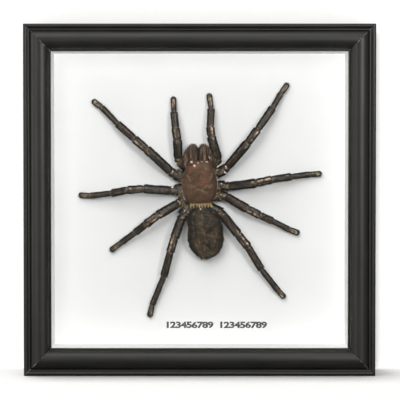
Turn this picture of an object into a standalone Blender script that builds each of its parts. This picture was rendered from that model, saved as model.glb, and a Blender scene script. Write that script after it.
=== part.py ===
"""A framed tarantula: a dried spider glued on a white card in a small deep wooden frame.

Metres, +Z up. The glazed front faces -Y and the wall side faces +Y. The origin is the middle of the
bottom edge, halfway through the frame's depth. Sizes below are in millimetres and multiplied by MM.
"""

import math

import bmesh
import bpy
from mathutils import Vector

MM = 0.001
GAP = 0.3  # clearance between neighbouring pieces

# Frame moulding
SIDES = ("bottom", "right", "top", "left")  # each a quarter turn on from the last
FRAME_SIZE = 168.0
FRAME_DEPTH = 30.0
RAIL_WIDTH = 13.0
REBATE_WALL = 8.0  # what is left of the rail outside its rebate
FRONT = -FRAME_DEPTH / 2
BACK = FRAME_DEPTH / 2
LIP_RADIUS = 1.1
LIP_SET_BACK = 1.6
GROOVE_WIDTH = 0.9
GROOVE_FLOOR = FRONT + 3.1
STEP_WIDTH = 0.8
STEP_SET_BACK = 3.6
SHOULDER = FRONT + 6.0  # the face of the rebate that the glass bears on
LIP_SEGMENTS = 6
TORUS_SEGMENTS = 12

# What lies in the rebate, front to back
GLASS_THICKNESS = 2.0
SPACER_DEPTH = 15.4
CARD_THICKNESS = 1.0
BOARD_THICKNESS = 2.2
GLASS_FRONT = SHOULDER + GAP
SPACER_FRONT = GLASS_FRONT + GLASS_THICKNESS + GAP
CARD_FRONT = SPACER_FRONT + SPACER_DEPTH + GAP
BOARD_FRONT = CARD_FRONT + CARD_THICKNESS + GAP
BOARD_BACK = BOARD_FRONT + BOARD_THICKNESS
FILLING_HALF = FRAME_SIZE / 2 - REBATE_WALL - GAP
OPENING_HALF = FRAME_SIZE / 2 - RAIL_WIDTH
ARRIS = 0.2

# Steel points that keep the back board in
POINT_WIDTH = 6.0
POINT_THICKNESS = 0.6
POINT_REACH = 6.5  # how far a point stands over the board
POINT_DRIVEN = 4.5  # how far it is driven into the rail
POINT_SPACING = 44.0  # from the middle of a rail
POINT_FRONT = BOARD_BACK + GAP

# Sawtooth hanger and its two rivets
HANGER_LENGTH = 44.0
HANGER_HALF_HEIGHT = 4.4
HANGER_THICKNESS = 0.7
HANGER_RAISE = 0.9
HANGER_Z = FRAME_SIZE - RAIL_WIDTH - 12.0
TOOTH_PITCH = 2.6
TOOTH_DEPTH = 1.5
TOOTH_COUNT = 9
RIVET_SPACING = 18.0  # from the middle of the hanger
RIVET_SHANK = 1.1
RIVET_HEAD = 2.3
RIVET_TAIL = 2.0
RIVET_CLEARANCE = RIVET_SHANK + GAP

# Spider. Its own axes: x across, z towards the head, and height h up from the card
SPIDER_Z = 92.0  # the middle of the carapace, above the frame's bottom edge
LEG_SIDES = 8
BODY_SIDES = 16

# Half widths and half heights of the leg joints' podomeres, thickest to thinnest
SEGMENTS = ("coxa", "trochanter", "femur", "patella", "tibia", "metatarsus", "tarsus")
HALF_WIDTH = {
    "coxa": 1.8,
    "trochanter": 1.75,
    "femur": 2.0,
    "patella": 1.8,
    "tibia": 1.6,
    "metatarsus": 1.25,
    "tarsus": 1.2,
}
# Heights of a leg's joints above the card, from the body outwards
LEG_HEIGHTS = (3.4, 3.6, 4.2, 8.0, 7.7, 4.9, 2.3, 1.7)
PALP_HEIGHTS = (3.3, 3.6, 4.0, 6.6, 6.3, 3.9, 1.8)

# Each leg: where its coxa starts, then the length and heading of every segment. A heading is in
# degrees clockwise from straight ahead.
LEGS = {
    "leg_1_left": (
        (-5.6, 1.9),
        (6.7, -70), (2.4, -59), (15.9, -47), (7.7, -50), (11.3, -48), (11.1, -44), (5.7, -54),
    ),
    "leg_2_left": (
        (-5.6, -2.4),
        (6.3, -101), (2.2, -95), (13.1, -86), (7.6, -94), (8.4, -101), (10.6, -97), (5.4, -87),
    ),
    "leg_3_left": (
        (-5.2, -6.8),
        (4.6, -122), (1.7, -120), (11.2, -120), (7.3, -127), (6.6, -128), (8.6, -126), (6.7, -127),
    ),
    "leg_4_left": (
        (-4.5, -10.9),
        (6.3, -145), (2.1, -153), (9.2, -160), (7.1, -164), (12.6, -165), (15.4, -158), (5.8, -167),
    ),
    "leg_1_right": (
        (5.6, 3.1),
        (6.9, 61), (2.3, 54), (15.0, 40), (8.2, 37), (13.1, 35), (8.0, 30), (6.0, 36),
    ),
    "leg_2_right": (
        (5.6, -1.4),
        (6.6, 93), (2.2, 89), (12.9, 83), (7.8, 77), (9.8, 82), (9.3, 83), (5.7, 87),
    ),
    "leg_3_right": (
        (5.4, -6.0),
        (5.6, 92), (2.0, 104), (11.7, 120), (6.6, 117), (7.2, 115), (9.0, 117), (5.5, 112),
    ),
    "leg_4_right": (
        (4.9, -10.6),
        (6.7, 125), (2.2, 133), (10.7, 142), (8.0, 142), (13.1, 149), (13.4, 142), (4.6, 137),
    ),
}
PALPS = {
    "palp_left": (
        (-5.3, 6.8),
        (5.6, -47), (1.8, -39), (8.8, -1), (5.7, -10), (7.9, -6), (7.5, -2),
    ),
    "palp_right": (
        (5.3, 6.8),
        (4.4, 40), (1.6, 32), (11.4, -17), (4.7, -6), (8.9, 3), (7.5, -8),
    ),
}
# Bends of the femora that curve in plan, in degrees from one end to the other
FEMUR_BENDS = {"leg_1_left": 18, "palp_right": -30}

# Carapace and sternum: (z, half width, height of the top)
CARAPACE = (
    (-10.2, 2.6, 6.4),
    (-9.2, 4.9, 7.2),
    (-7.0, 7.0, 8.1),
    (-3.5, 8.1, 8.7),
    (0.0, 8.4, 9.0),
    (3.2, 8.0, 9.4),
    (6.0, 6.9, 9.8),
    (8.0, 6.1, 9.8),
    (9.6, 5.6, 9.2),
    (10.3, 4.6, 8.4),
)
RIM_HEIGHT = 6.4
RIM_THICKNESS = 0.6
STERNUM_HEIGHT = 2.3
EYE_MOUND = 0.7
EYE_STATION = 7

# Abdomen: (share of its length, middle x, half width, lowest height, highest height)
ABDOMEN = (
    (0.0, 0.9, 0.8, 4.6, 6.0),
    (0.05, 1.1, 1.3, 4.2, 6.6),
    (0.12, 2.1, 4.6, 3.2, 9.0),
    (0.21, 2.7, 6.5, 2.5, 10.6),
    (0.37, 3.1, 7.8, 2.1, 11.6),
    (0.53, 3.2, 8.4, 2.0, 11.9),
    (0.68, 3.2, 8.4, 2.1, 11.4),
    (0.81, 2.8, 7.2, 2.6, 10.2),
    (0.92, 2.6, 5.0, 3.4, 8.4),
    (1.0, 2.3, 2.0, 4.4, 6.6),
)
ABDOMEN_FRONT = -10.7
ABDOMEN_LENGTH = 26.2
SPINNERET_LENGTH = 3.4
SPINNERET_RADIUS = 0.75

# Chelicerae: (z, half width, lowest height, highest height)
CHELICERA = (
    (10.7, 1.5, 4.6, 7.6),
    (11.6, 2.05, 3.8, 8.6),
    (13.6, 2.2, 3.4, 8.9),
    (15.8, 2.15, 3.3, 8.2),
    (17.4, 1.7, 3.5, 6.9),
    (18.2, 0.9, 4.2, 5.8),
)
CHELICERA_X = 2.45
FANG_RADIUS = 0.55
FANG_ARC = 5.2  # radius of the fang's curve
FANG_HEIGHT = 2.4
FANG_Z = 16.9
FANG_STEPS = 6

# Dabs of glue between the spider and the card: name, x, z, radius, height
GLUE_DABS = (
    ("glue_dab_front", 0.0, -1.0, 3.4, STERNUM_HEIGHT - 2 * GAP),
    ("glue_dab_rear", 3.1, -26.0, 4.6, 2.0 - 2 * GAP),
)


def clear_scene():
    """Take out whatever the new scene came with."""
    for thing in list(bpy.data.objects):
        bpy.data.objects.remove(thing, do_unlink=True)


def make_material(name, colour, roughness, metallic=0.0):
    """A plain Principled material in linear RGB."""
    material = bpy.data.materials.new(name)
    material.use_nodes = True
    shader = material.node_tree.nodes["Principled BSDF"]
    shader.inputs["Base Color"].default_value = (*colour, 1.0)
    shader.inputs["Roughness"].default_value = roughness
    shader.inputs["Metallic"].default_value = metallic
    return material


def make_object(name, bm, material, parent=None):
    """Turn a bmesh drawn in millimetres into a named object in metres."""
    bmesh.ops.scale(bm, vec=(MM, MM, MM), verts=bm.verts)
    bmesh.ops.recalc_face_normals(bm, faces=bm.faces)
    mesh = bpy.data.meshes.new(name)
    bm.to_mesh(mesh)
    bm.free()
    mesh.materials.append(material)
    thing = bpy.data.objects.new(name, mesh)
    bpy.context.collection.objects.link(thing)
    thing.parent = parent
    return thing


def shade_round(thing):
    """Smooth shading with the real edges kept sharp."""
    thing.data.shade_smooth()
    thing.data.set_sharp_from_angle(angle=math.radians(40))


def make_empty(name, location):
    """An empty that other pieces hang from."""
    empty = bpy.data.objects.new(name, None)
    empty.location = location
    bpy.context.collection.objects.link(empty)
    return empty


def make_cutter(name, bm, target, parent=None):
    """A wire object that an exact Boolean takes out of its target."""
    cutter = make_object(name, bm, target.data.materials[0], parent)
    cutter.hide_render = True
    cutter.display_type = "WIRE"
    cut = target.modifiers.new(name, "BOOLEAN")
    cut.operation = "DIFFERENCE"
    cut.solver = "EXACT"
    cut.object = cutter
    return cutter


def loft(rings):
    """Join rings of points of equal count into one closed skin."""
    bm = bmesh.new()
    loops = [[bm.verts.new(point) for point in ring] for ring in rings]
    count = len(loops[0])
    for near, far in zip(loops, loops[1:]):
        for i in range(count):
            j = (i + 1) % count
            bm.faces.new((near[i], near[j], far[j], far[i]))
    bm.faces.new(loops[0])
    bm.faces.new(loops[-1])
    return bm


def ellipse(centre, side, up, half_width, half_height, sides):
    """A ring of points around a centre."""
    ring = []
    for i in range(sides):
        turn = 2 * math.pi * (i + 0.5) / sides
        ring.append(centre + side * (half_width * math.cos(turn)) + up * (half_height * math.sin(turn)))
    return ring


def slab(low, high):
    """A rectangular sheet between two corners, with a small arris."""
    bm = bmesh.new()
    bmesh.ops.create_cube(bm, size=1.0)
    low = Vector(low)
    high = Vector(high)
    bmesh.ops.scale(bm, vec=high - low, verts=bm.verts)
    bmesh.ops.translate(bm, vec=(high + low) / 2, verts=bm.verts)
    bmesh.ops.bevel(bm, geom=bm.edges[:], offset=ARRIS, segments=1, affect="EDGES")
    return bm


def turned(profile, sides):
    """Turn a list of (radius, y) points about the Y axis; it starts and ends on the axis."""
    rings = []
    for radius, y in profile:
        steps = [2 * math.pi * i / sides for i in range(sides)]
        rings.append([Vector((radius * math.cos(a), y, radius * math.sin(a))) for a in steps])
    return loft(rings)


# Frame: four mitred rails cut from one moulding


def moulding_profile():
    """Points (u, y) round the moulding, u measured inwards from the outer edge."""
    points = [(0.0, BACK)]
    lip_y = FRONT + LIP_SET_BACK + LIP_RADIUS
    for i in range(LIP_SEGMENTS + 1):
        turn = math.pi * i / LIP_SEGMENTS
        points.append((LIP_RADIUS * (1 - math.cos(turn)), lip_y - LIP_RADIUS * math.sin(turn)))
    groove = 2 * LIP_RADIUS
    points += [(groove, GROOVE_FLOOR), (groove + GROOVE_WIDTH, GROOVE_FLOOR)]
    torus_half = (RAIL_WIDTH - STEP_WIDTH - groove - GROOVE_WIDTH) / 2
    torus_middle = groove + GROOVE_WIDTH + torus_half
    torus_base = FRONT + STEP_SET_BACK
    for i in range(1, TORUS_SEGMENTS + 1):
        turn = math.pi * i / TORUS_SEGMENTS
        u = torus_middle - torus_half * math.cos(turn)
        points.append((u, torus_base - STEP_SET_BACK * math.sin(turn)))
    points += [
        (RAIL_WIDTH, torus_base),
        (RAIL_WIDTH, SHOULDER),
        (REBATE_WALL, SHOULDER),
        (REBATE_WALL, BACK),
    ]
    return points


def rail_mesh():
    """The bottom rail about the frame's centre, its ends cut at 45 degrees."""
    half = FRAME_SIZE / 2
    mitre_gap = GAP / 2 * math.sqrt(2)
    rings = []
    for end in (-1, 1):
        rings.append([Vector((end * (half - u - mitre_gap), y, u - half)) for u, y in moulding_profile()])
    return loft(rings)


def add_rails(wood):
    """Four rails turned about the frame's centre, each with slots for two points."""
    for quarter, side in enumerate(SIDES):
        rail = make_object("rail_" + side, rail_mesh(), wood)
        rail.location = (0.0, 0.0, FRAME_SIZE / 2 * MM)
        rail.rotation_euler = (0.0, -quarter * math.pi / 2, 0.0)
        for x in (-POINT_SPACING, POINT_SPACING):
            half = POINT_WIDTH / 2 + GAP
            foot = FRAME_SIZE / 2 - REBATE_WALL
            bm = slab(
                (x - half, POINT_FRONT - GAP, -foot - POINT_DRIVEN - GAP),
                (x + half, POINT_FRONT + POINT_THICKNESS + GAP, -foot + GAP),
            )
            make_cutter("slot_" + side, bm, rail, rail)
        shade_round(rail)


# Sheets inside the rebate


def add_filling(glass, foam, card_stock, hardboard):
    """Glass, four spacer strips, the card and the back board."""
    half = FILLING_HALF
    middle = make_empty("frame_centre", (0.0, 0.0, FRAME_SIZE / 2 * MM))
    sheets = (
        ("glass_pane", GLASS_FRONT, GLASS_THICKNESS, glass),
        ("mount_card", CARD_FRONT, CARD_THICKNESS, card_stock),
        ("back_board", BOARD_FRONT, BOARD_THICKNESS, hardboard),
    )
    for name, front, thickness, material in sheets:
        make_object(name, slab((-half, front, -half), (half, front + thickness, half)), material, middle)

    back = SPACER_FRONT + SPACER_DEPTH
    inner = OPENING_HALF
    side_half = inner - GAP
    strips = {
        "spacer_top": ((-half, SPACER_FRONT, inner), (half, back, half)),
        "spacer_bottom": ((-half, SPACER_FRONT, -half), (half, back, -inner)),
        "spacer_left": ((-half, SPACER_FRONT, -side_half), (-inner, back, side_half)),
        "spacer_right": ((inner, SPACER_FRONT, -side_half), (half, back, side_half)),
    }
    for name, (low, high) in strips.items():
        make_object(name, slab(low, high), foam, middle)
    return middle


# Fixings on the back


def point_mesh(x):
    """A flat steel point over the bottom edge of the board, its sharp end in the rail."""
    foot = FILLING_HALF + GAP
    half = POINT_WIDTH / 2
    outline = (
        (-half, POINT_REACH - 1.0),
        (-half + 1.0, POINT_REACH),
        (half - 1.0, POINT_REACH),
        (half, POINT_REACH - 1.0),
        (half, -1.0),
        (0.4, -POINT_DRIVEN),
        (-0.4, -POINT_DRIVEN),
        (-half, -1.0),
    )
    rings = []
    for y in (POINT_FRONT, POINT_FRONT + POINT_THICKNESS):
        rings.append([Vector((x + dx, y, dz - foot)) for dx, dz in outline])
    return loft(rings)


def add_points(steel, middle):
    """Two points on each rail."""
    for quarter, side in enumerate(SIDES):
        for number, x in enumerate((-POINT_SPACING, POINT_SPACING), start=1):
            point = make_object(f"steel_point_{side}_{number}", point_mesh(x), steel, middle)
            point.rotation_euler = (0.0, -quarter * math.pi / 2, 0.0)


def hanger_stations():
    """Stations (x, low edge, high edge, raise) along the sawtooth strip."""
    end = HANGER_LENGTH / 2
    reach = TOOTH_COUNT * TOOTH_PITCH / 2
    height = HANGER_HALF_HEIGHT
    left = [(-end, -1.6, 1.6, 0.0), (-end + 1.2, -3.0, 3.0, 0.0), (-end + 3.0, -height, height, 0.0)]
    left += [(-reach - 3.0, -height, height, 0.0), (-reach - 1.4, -height, height, HANGER_RAISE)]
    teeth = []
    for i in range(2 * TOOTH_COUNT + 1):
        low = -height if i % 2 == 0 else -height + TOOTH_DEPTH
        teeth.append((-reach + i * TOOTH_PITCH / 2, low, height, HANGER_RAISE))
    right = [(-x, low, high, lift) for x, low, high, lift in reversed(left)]
    return left + teeth + right


def add_hanger(brass, board, middle):
    """A raised sawtooth strip held to the back board by two rivets."""
    seat = BOARD_BACK + GAP
    z = HANGER_Z - FRAME_SIZE / 2
    rings = []
    for x, low, high, lift in hanger_stations():
        near = seat + lift
        far = near + HANGER_THICKNESS
        corners = ((near, low), (near, high), (far, high), (far, low))
        rings.append([Vector((x, y, z + dz)) for y, dz in corners])
    hanger = make_object("sawtooth_hanger", loft(rings), brass, middle)

    tail = BOARD_FRONT + 0.1
    recess = BOARD_FRONT + 0.9
    outer = seat + HANGER_THICKNESS + GAP
    for side, x in (("left", -RIVET_SPACING), ("right", RIVET_SPACING)):
        profile = (
            (RIVET_TAIL * 0.6, tail),
            (RIVET_TAIL, tail + 0.2),
            (RIVET_TAIL, tail + 0.5),
            (RIVET_SHANK, tail + 0.55),
            (RIVET_SHANK, outer),
            (RIVET_HEAD, outer),
            (RIVET_HEAD * 0.9, outer + 0.45),
            (RIVET_HEAD * 0.5, outer + 0.8),
        )
        rivet = make_object("rivet_" + side, turned(profile, 20), brass, middle)
        rivet.location = (x * MM, 0.0, z * MM)
        shade_round(rivet)
        bore = (
            (RIVET_TAIL + GAP, BOARD_FRONT - 1.0),
            (RIVET_TAIL + GAP, recess),
            (RIVET_CLEARANCE, recess),
            (RIVET_CLEARANCE, outer + 1.0),
        )
        for target in (board, hanger):
            cutter = make_cutter("bore_" + side, turned(bore, 20), target, middle)
            cutter.location = (x * MM, 0.0, z * MM)


# Spider: every podomere chain is one piece, drawn in the specimen's own axes


def spider_point(x, height, z):
    """A point at a height above the card; the card's face is y = 0 here."""
    return Vector((x, -height, z))


def limb_path(name, start, segments, heights):
    """Joint points of a limb and one middle point for every segment."""
    x, z = start
    joints = [spider_point(x, heights[0], z)]
    middles = []
    for number, (length, heading) in enumerate(segments):
        bend = FEMUR_BENDS.get(name, 0.0) if number == SEGMENTS.index("femur") else 0.0
        for share in (-0.5, 0.5):
            turn = math.radians(heading + share * bend)
            x += length / 2 * math.sin(turn)
            z += length / 2 * math.cos(turn)
            if share < 0:
                middle_height = (heights[number] + heights[number + 1]) / 2
                middles.append(spider_point(x, middle_height, z))
        joints.append(spider_point(x, heights[number + 1], z))
    return joints, middles


def limb_rings(name, start, segments, heights, kinds):
    """Rings that swell in each segment and draw in at each joint."""
    joints, middles = limb_path(name, start, segments, heights)
    rings = []
    for number, kind in enumerate(kinds):
        near = joints[number]
        far = joints[number + 1]
        middle = middles[number]
        half = HALF_WIDTH[kind]
        last = number == len(kinds) - 1
        stations = [(near.lerp(middle, 0.16), middle - near, 0.84), (middle, far - near, 1.0)]
        stations.append((far.lerp(middle, 0.16), far - middle, 0.9))
        if number == 0:
            stations.insert(0, (near, middle - near, 0.7))
        if last:
            stations.append((far, far - middle, 0.45))
        for centre, along, share in stations:
            along = along.normalized()
            side = along.cross(Vector((0.0, -1.0, 0.0))).normalized()
            up = side.cross(along)
            size = half * share
            rings.append(ellipse(centre, side, up, size, size * 0.95, LEG_SIDES))
    return rings


def add_limbs(cuticle, specimen):
    """Eight legs of seven segments and two palps of six."""
    palp_kinds = [kind for kind in SEGMENTS if kind != "metatarsus"]
    for limbs, heights, kinds in ((LEGS, LEG_HEIGHTS, SEGMENTS), (PALPS, PALP_HEIGHTS, palp_kinds)):
        for name, (start, *segments) in limbs.items():
            rings = limb_rings(name, start, segments, heights, kinds)
            shade_round(make_object(name, loft(rings), cuticle, specimen))


def carapace_ring(z, half, top, mound):
    """Carapace over a narrower sternum, so that the coxae reach in under the rim."""
    side = [
        (1.0, RIM_HEIGHT),
        (0.93, RIM_HEIGHT + 0.35 * (top - RIM_HEIGHT)),
        (0.72, RIM_HEIGHT + 0.72 * (top - RIM_HEIGHT)),
        (0.4, RIM_HEIGHT + 0.93 * (top - RIM_HEIGHT)),
        (0.14, top + mound),
    ]
    belly = [
        (0.16, STERNUM_HEIGHT),
        (0.42, STERNUM_HEIGHT + 0.4),
        (0.52, STERNUM_HEIGHT + 1.2),
        (0.54, RIM_HEIGHT - RIM_THICKNESS - 0.1),
        (0.94, RIM_HEIGHT - RIM_THICKNESS),
    ]
    right = [spider_point(share * half, height, z) for share, height in belly + side]
    left = [spider_point(-share * half, height, z) for share, height in reversed(belly + side)]
    return right + left


def add_cephalothorax(cuticle, specimen):
    """The front half of the body, with a low eye mound near its front edge."""
    rings = []
    for number, (z, half, top) in enumerate(CARAPACE):
        mound = EYE_MOUND if number == EYE_STATION else 0.0
        rings.append(carapace_ring(z, half, top, mound))
    shade_round(make_object("cephalothorax", loft(rings), cuticle, specimen))


def body_ring(centre_x, z, half, low, high):
    """An upright oval across the body."""
    centre = spider_point(centre_x, (low + high) / 2, z)
    return ellipse(centre, Vector((1, 0, 0)), Vector((0, -1, 0)), half, (high - low) / 2, BODY_SIDES)


def add_abdomen(cuticle, specimen):
    """The rear half of the body with its waist and two spinnerets, one grown piece."""
    rings = []
    for share, middle_x, half, low, high in ABDOMEN:
        rings.append(body_ring(middle_x, ABDOMEN_FRONT - share * ABDOMEN_LENGTH, half, low, high))
    abdomen = make_object("abdomen", loft(rings), cuticle, specimen)

    tail_x = ABDOMEN[-1][1]
    tail_z = ABDOMEN_FRONT - 0.94 * ABDOMEN_LENGTH
    for side in (-1, 1):
        rings = []
        for share, size in ((0.0, 1.0), (0.6, 0.85), (1.0, 0.4)):
            x = tail_x + side * (1.2 + 0.5 * share)
            z = tail_z - share * SPINNERET_LENGTH
            radius = SPINNERET_RADIUS * size
            centre = spider_point(x, 5.0 - 0.8 * share, z)
            rings.append(ellipse(centre, Vector((1, 0, 0)), Vector((0, -1, 0)), radius, radius, LEG_SIDES))
        spinneret = make_object("spinneret", loft(rings), cuticle, specimen)
        spinneret.hide_render = True
        spinneret.display_type = "WIRE"
        join = abdomen.modifiers.new("spinneret", "BOOLEAN")
        join.operation = "UNION"
        join.solver = "EXACT"
        join.object = spinneret
    shade_round(abdomen)


def add_jaws(cuticle, fang_horn, specimen):
    """Two chelicerae side by side, each with a fang folded under it."""
    for side, name in ((-1, "left"), (1, "right")):
        x = side * CHELICERA_X
        rings = [body_ring(x, z, half, low, high) for z, half, low, high in CHELICERA]
        shade_round(make_object("chelicera_" + name, loft(rings), cuticle, specimen))

        rings = []
        for i in range(FANG_STEPS + 1):
            share = i / FANG_STEPS
            turn = math.radians(60 * share)
            height = FANG_HEIGHT - FANG_ARC * (1 - math.cos(turn)) * 0.45
            centre = spider_point(x, height, FANG_Z - FANG_ARC * math.sin(turn))
            along = spider_point(0.0, -math.sin(turn) * 0.45, -math.cos(turn)).normalized()
            across = Vector((1, 0, 0))
            radius = FANG_RADIUS * (1.0 - 0.75 * share)
            rings.append(ellipse(centre, across, across.cross(along), radius, radius, LEG_SIDES))
        shade_round(make_object("fang_" + name, loft(rings), fang_horn, specimen))


def add_glue(glue, specimen):
    """Flat dabs that hold the body to the card."""
    for name, x, z, radius, height in GLUE_DABS:
        profile = (
            (radius * 0.8, 0.0),
            (radius, -0.25 * height),
            (radius * 0.93, -0.7 * height),
            (radius * 0.7, -height),
        )
        dab = make_object(name, turned(profile, 16), glue, specimen)
        dab.location = (x * MM, -GAP * MM, z * MM)
        shade_round(dab)


def main():
    """Build the whole piece."""
    clear_scene()
    wood = make_material("black_painted_wood", (0.012, 0.012, 0.012), 0.4)
    glass = make_material("window_glass", (0.9, 0.94, 0.92), 0.02)
    foam = make_material("white_foam_board", (0.85, 0.85, 0.83), 0.7)
    card_stock = make_material("white_card", (0.88, 0.88, 0.85), 0.8)
    hardboard = make_material("brown_hardboard", (0.16, 0.09, 0.045), 0.7)
    steel = make_material("zinc_plated_steel", (0.55, 0.55, 0.56), 0.4, 1.0)
    brass = make_material("brass_plated_steel", (0.62, 0.44, 0.18), 0.35, 1.0)
    cuticle = make_material("dark_hairy_cuticle", (0.03, 0.02, 0.016), 0.7)
    carapace = make_material("reddish_brown_carapace", (0.09, 0.045, 0.03), 0.6)
    fang_horn = make_material("black_fang_horn", (0.01, 0.008, 0.008), 0.25)
    glue = make_material("clear_hot_glue", (0.75, 0.72, 0.62), 0.3)

    add_rails(wood)
    middle = add_filling(glass, foam, card_stock, hardboard)
    add_points(steel, middle)
    add_hanger(brass, bpy.data.objects["back_board"], middle)

    specimen = make_empty("specimen", (0.0, CARD_FRONT * MM, SPIDER_Z * MM))
    add_cephalothorax(carapace, specimen)
    add_abdomen(cuticle, specimen)
    add_jaws(cuticle, fang_horn, specimen)
    add_limbs(cuticle, specimen)
    add_glue(glue, specimen)


main()
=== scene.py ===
import math

import bmesh
import bpy
import numpy as np
from mathutils import Euler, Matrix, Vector, noise


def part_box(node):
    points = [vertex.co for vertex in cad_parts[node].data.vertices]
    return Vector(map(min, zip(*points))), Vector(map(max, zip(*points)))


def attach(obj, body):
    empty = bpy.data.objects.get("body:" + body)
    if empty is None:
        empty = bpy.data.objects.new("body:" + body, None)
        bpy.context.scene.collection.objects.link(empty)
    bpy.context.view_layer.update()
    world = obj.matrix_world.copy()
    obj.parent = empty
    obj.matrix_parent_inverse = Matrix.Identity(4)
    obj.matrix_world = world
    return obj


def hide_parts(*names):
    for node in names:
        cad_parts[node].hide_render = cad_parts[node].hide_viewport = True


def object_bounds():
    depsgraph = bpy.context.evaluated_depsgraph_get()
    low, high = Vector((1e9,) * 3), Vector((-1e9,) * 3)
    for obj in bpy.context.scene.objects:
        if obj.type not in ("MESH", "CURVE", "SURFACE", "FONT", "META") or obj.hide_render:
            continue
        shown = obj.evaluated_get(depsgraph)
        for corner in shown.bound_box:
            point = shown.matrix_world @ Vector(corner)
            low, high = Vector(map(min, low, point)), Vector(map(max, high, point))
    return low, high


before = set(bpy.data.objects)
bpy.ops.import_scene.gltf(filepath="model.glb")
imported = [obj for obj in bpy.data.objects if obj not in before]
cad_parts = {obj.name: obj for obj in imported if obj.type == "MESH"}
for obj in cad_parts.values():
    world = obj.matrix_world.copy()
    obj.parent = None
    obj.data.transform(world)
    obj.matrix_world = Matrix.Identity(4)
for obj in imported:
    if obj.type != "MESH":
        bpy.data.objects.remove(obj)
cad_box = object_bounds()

MM = 0.001


# Camera and studio -------------------------------------------------------------------------------
# A long lens looks almost square on at the glass, from just above its middle. A white tent lights
# the frame from all round and is dark behind the camera, so that the glass shows no reflection of it.

CAMERA_DISTANCE = 0.750
CAMERA_ELEVATION = math.radians(1.5)
LENS_MM = 142.1
# How bright the tent looks from inside the glass, and as the background
GLOW_IN_GLASS = 0.22
BACKGROUND_GLOW = 0.985


def linear(sheet_colour):
    """An sRGB hex colour as linear RGBA."""
    channels = [int(sheet_colour[i:i + 2], 16) / 255 for i in (1, 3, 5)]
    curve = [c / 12.92 if c <= 0.04045 else ((c + 0.055) / 1.055) ** 2.4 for c in channels]
    return (*curve, 1.0)


def add(tree, kind, inputs=None, **settings):
    """Add one node. Settings are its properties; inputs are values or the sockets that feed it."""
    made = tree.nodes.new(kind)
    for name, value in settings.items():
        setattr(made, name, value)
    for name, value in (inputs or {}).items():
        if isinstance(value, bpy.types.NodeSocket):
            tree.links.new(value, made.inputs[name])
        else:
            made.inputs[name].default_value = value
    return made


def new_finish(name):
    """Start a material, and give it with its node tree and its shader."""
    material = bpy.data.materials.new(name)
    material.use_nodes = True
    return material, material.node_tree, material.node_tree.nodes["Principled BSDF"]


def two_shades(tree, pattern, dark, pale, dark_at=0.0, pale_at=1.0):
    """Colour a surface from dark to pale by a pattern."""
    tint = add(tree, "ShaderNodeValToRGB", {"Fac": pattern})
    first, last = tint.color_ramp.elements
    first.position, last.position = dark_at, pale_at
    first.color, last.color = linear(dark), linear(pale)
    tree.links.new(tint.outputs["Color"], tree.nodes["Principled BSDF"].inputs["Base Color"])


low, high = cad_box
front_middle = Vector(((low.x + high.x) / 2 + 0.2 * MM, low.y, (low.z + high.z) / 2 + 0.15 * MM))
camera_data = bpy.data.cameras.new("camera")
camera_data.lens = LENS_MM
camera_data.sensor_width = 36.0
camera = bpy.data.objects.new("camera", camera_data)
back_off = Vector((0.0, -math.cos(CAMERA_ELEVATION), math.sin(CAMERA_ELEVATION)))
camera.location = front_middle + back_off * CAMERA_DISTANCE
camera.rotation_euler = (-back_off).to_track_quat("-Z", "Y").to_euler()
bpy.context.collection.objects.link(camera)
bpy.context.scene.camera = camera
bpy.context.scene.view_settings.view_transform = "Standard"

tent = bpy.data.worlds.new("white_tent")
bpy.context.scene.world = tent
tent.use_nodes = True
tree = tent.node_tree
tree.nodes.clear()
heading = add(tree, "ShaderNodeTexCoord").outputs["Generated"]
parts = add(tree, "ShaderNodeSeparateXYZ", {0: heading})
upper = add(tree, "ShaderNodeMapRange", {
    "Value": parts.outputs["Z"], "From Min": -0.22, "From Max": 0.25, "To Min": 0.08, "To Max": 0.52,
})
zenith = add(tree, "ShaderNodeMapRange", {
    "Value": parts.outputs["Z"], "From Min": 0.25, "From Max": 1.0, "To Min": 0.0, "To Max": 0.25,
})
walls = add(tree, "ShaderNodeMath", {0: upper.outputs[0], 1: zenith.outputs[0]}, operation="ADD")
leftward = add(tree, "ShaderNodeMapRange", {
    "Value": parts.outputs["X"], "From Min": 1.0, "From Max": -1.0, "To Min": 0.75, "To Max": 1.1,
})
walls = add(tree, "ShaderNodeMath", {0: walls.outputs[0], 1: leftward.outputs[0]}, operation="MULTIPLY")
forward = add(tree, "ShaderNodeMath", {0: parts.outputs["Y"], 1: -1.0}, operation="MULTIPLY")
opening = add(tree, "ShaderNodeMapRange", {
    "Value": forward.outputs[0], "From Min": 0.88, "From Max": 0.98, "To Min": 1.0, "To Max": 0.03,
})
dim = add(tree, "ShaderNodeMath", {0: walls.outputs[0], 1: opening.outputs[0]}, operation="MULTIPLY")
# Inside the glass the tent is an even glow.
ray = add(tree, "ShaderNodeLightPath")
inside = add(tree, "ShaderNodeMix", {
    0: ray.outputs["Is Transmission Ray"], 2: dim.outputs[0], 3: GLOW_IN_GLASS,
}, data_type="FLOAT")
shown = add(tree, "ShaderNodeMix", {
    0: ray.outputs["Is Camera Ray"], 2: inside.outputs[0], 3: BACKGROUND_GLOW,
}, data_type="FLOAT")
sky = add(tree, "ShaderNodeBackground", {"Color": (1.0, 0.995, 0.985, 1.0), "Strength": shown.outputs[0]})
add(tree, "ShaderNodeOutputWorld", {"Surface": sky.outputs[0]})

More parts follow.
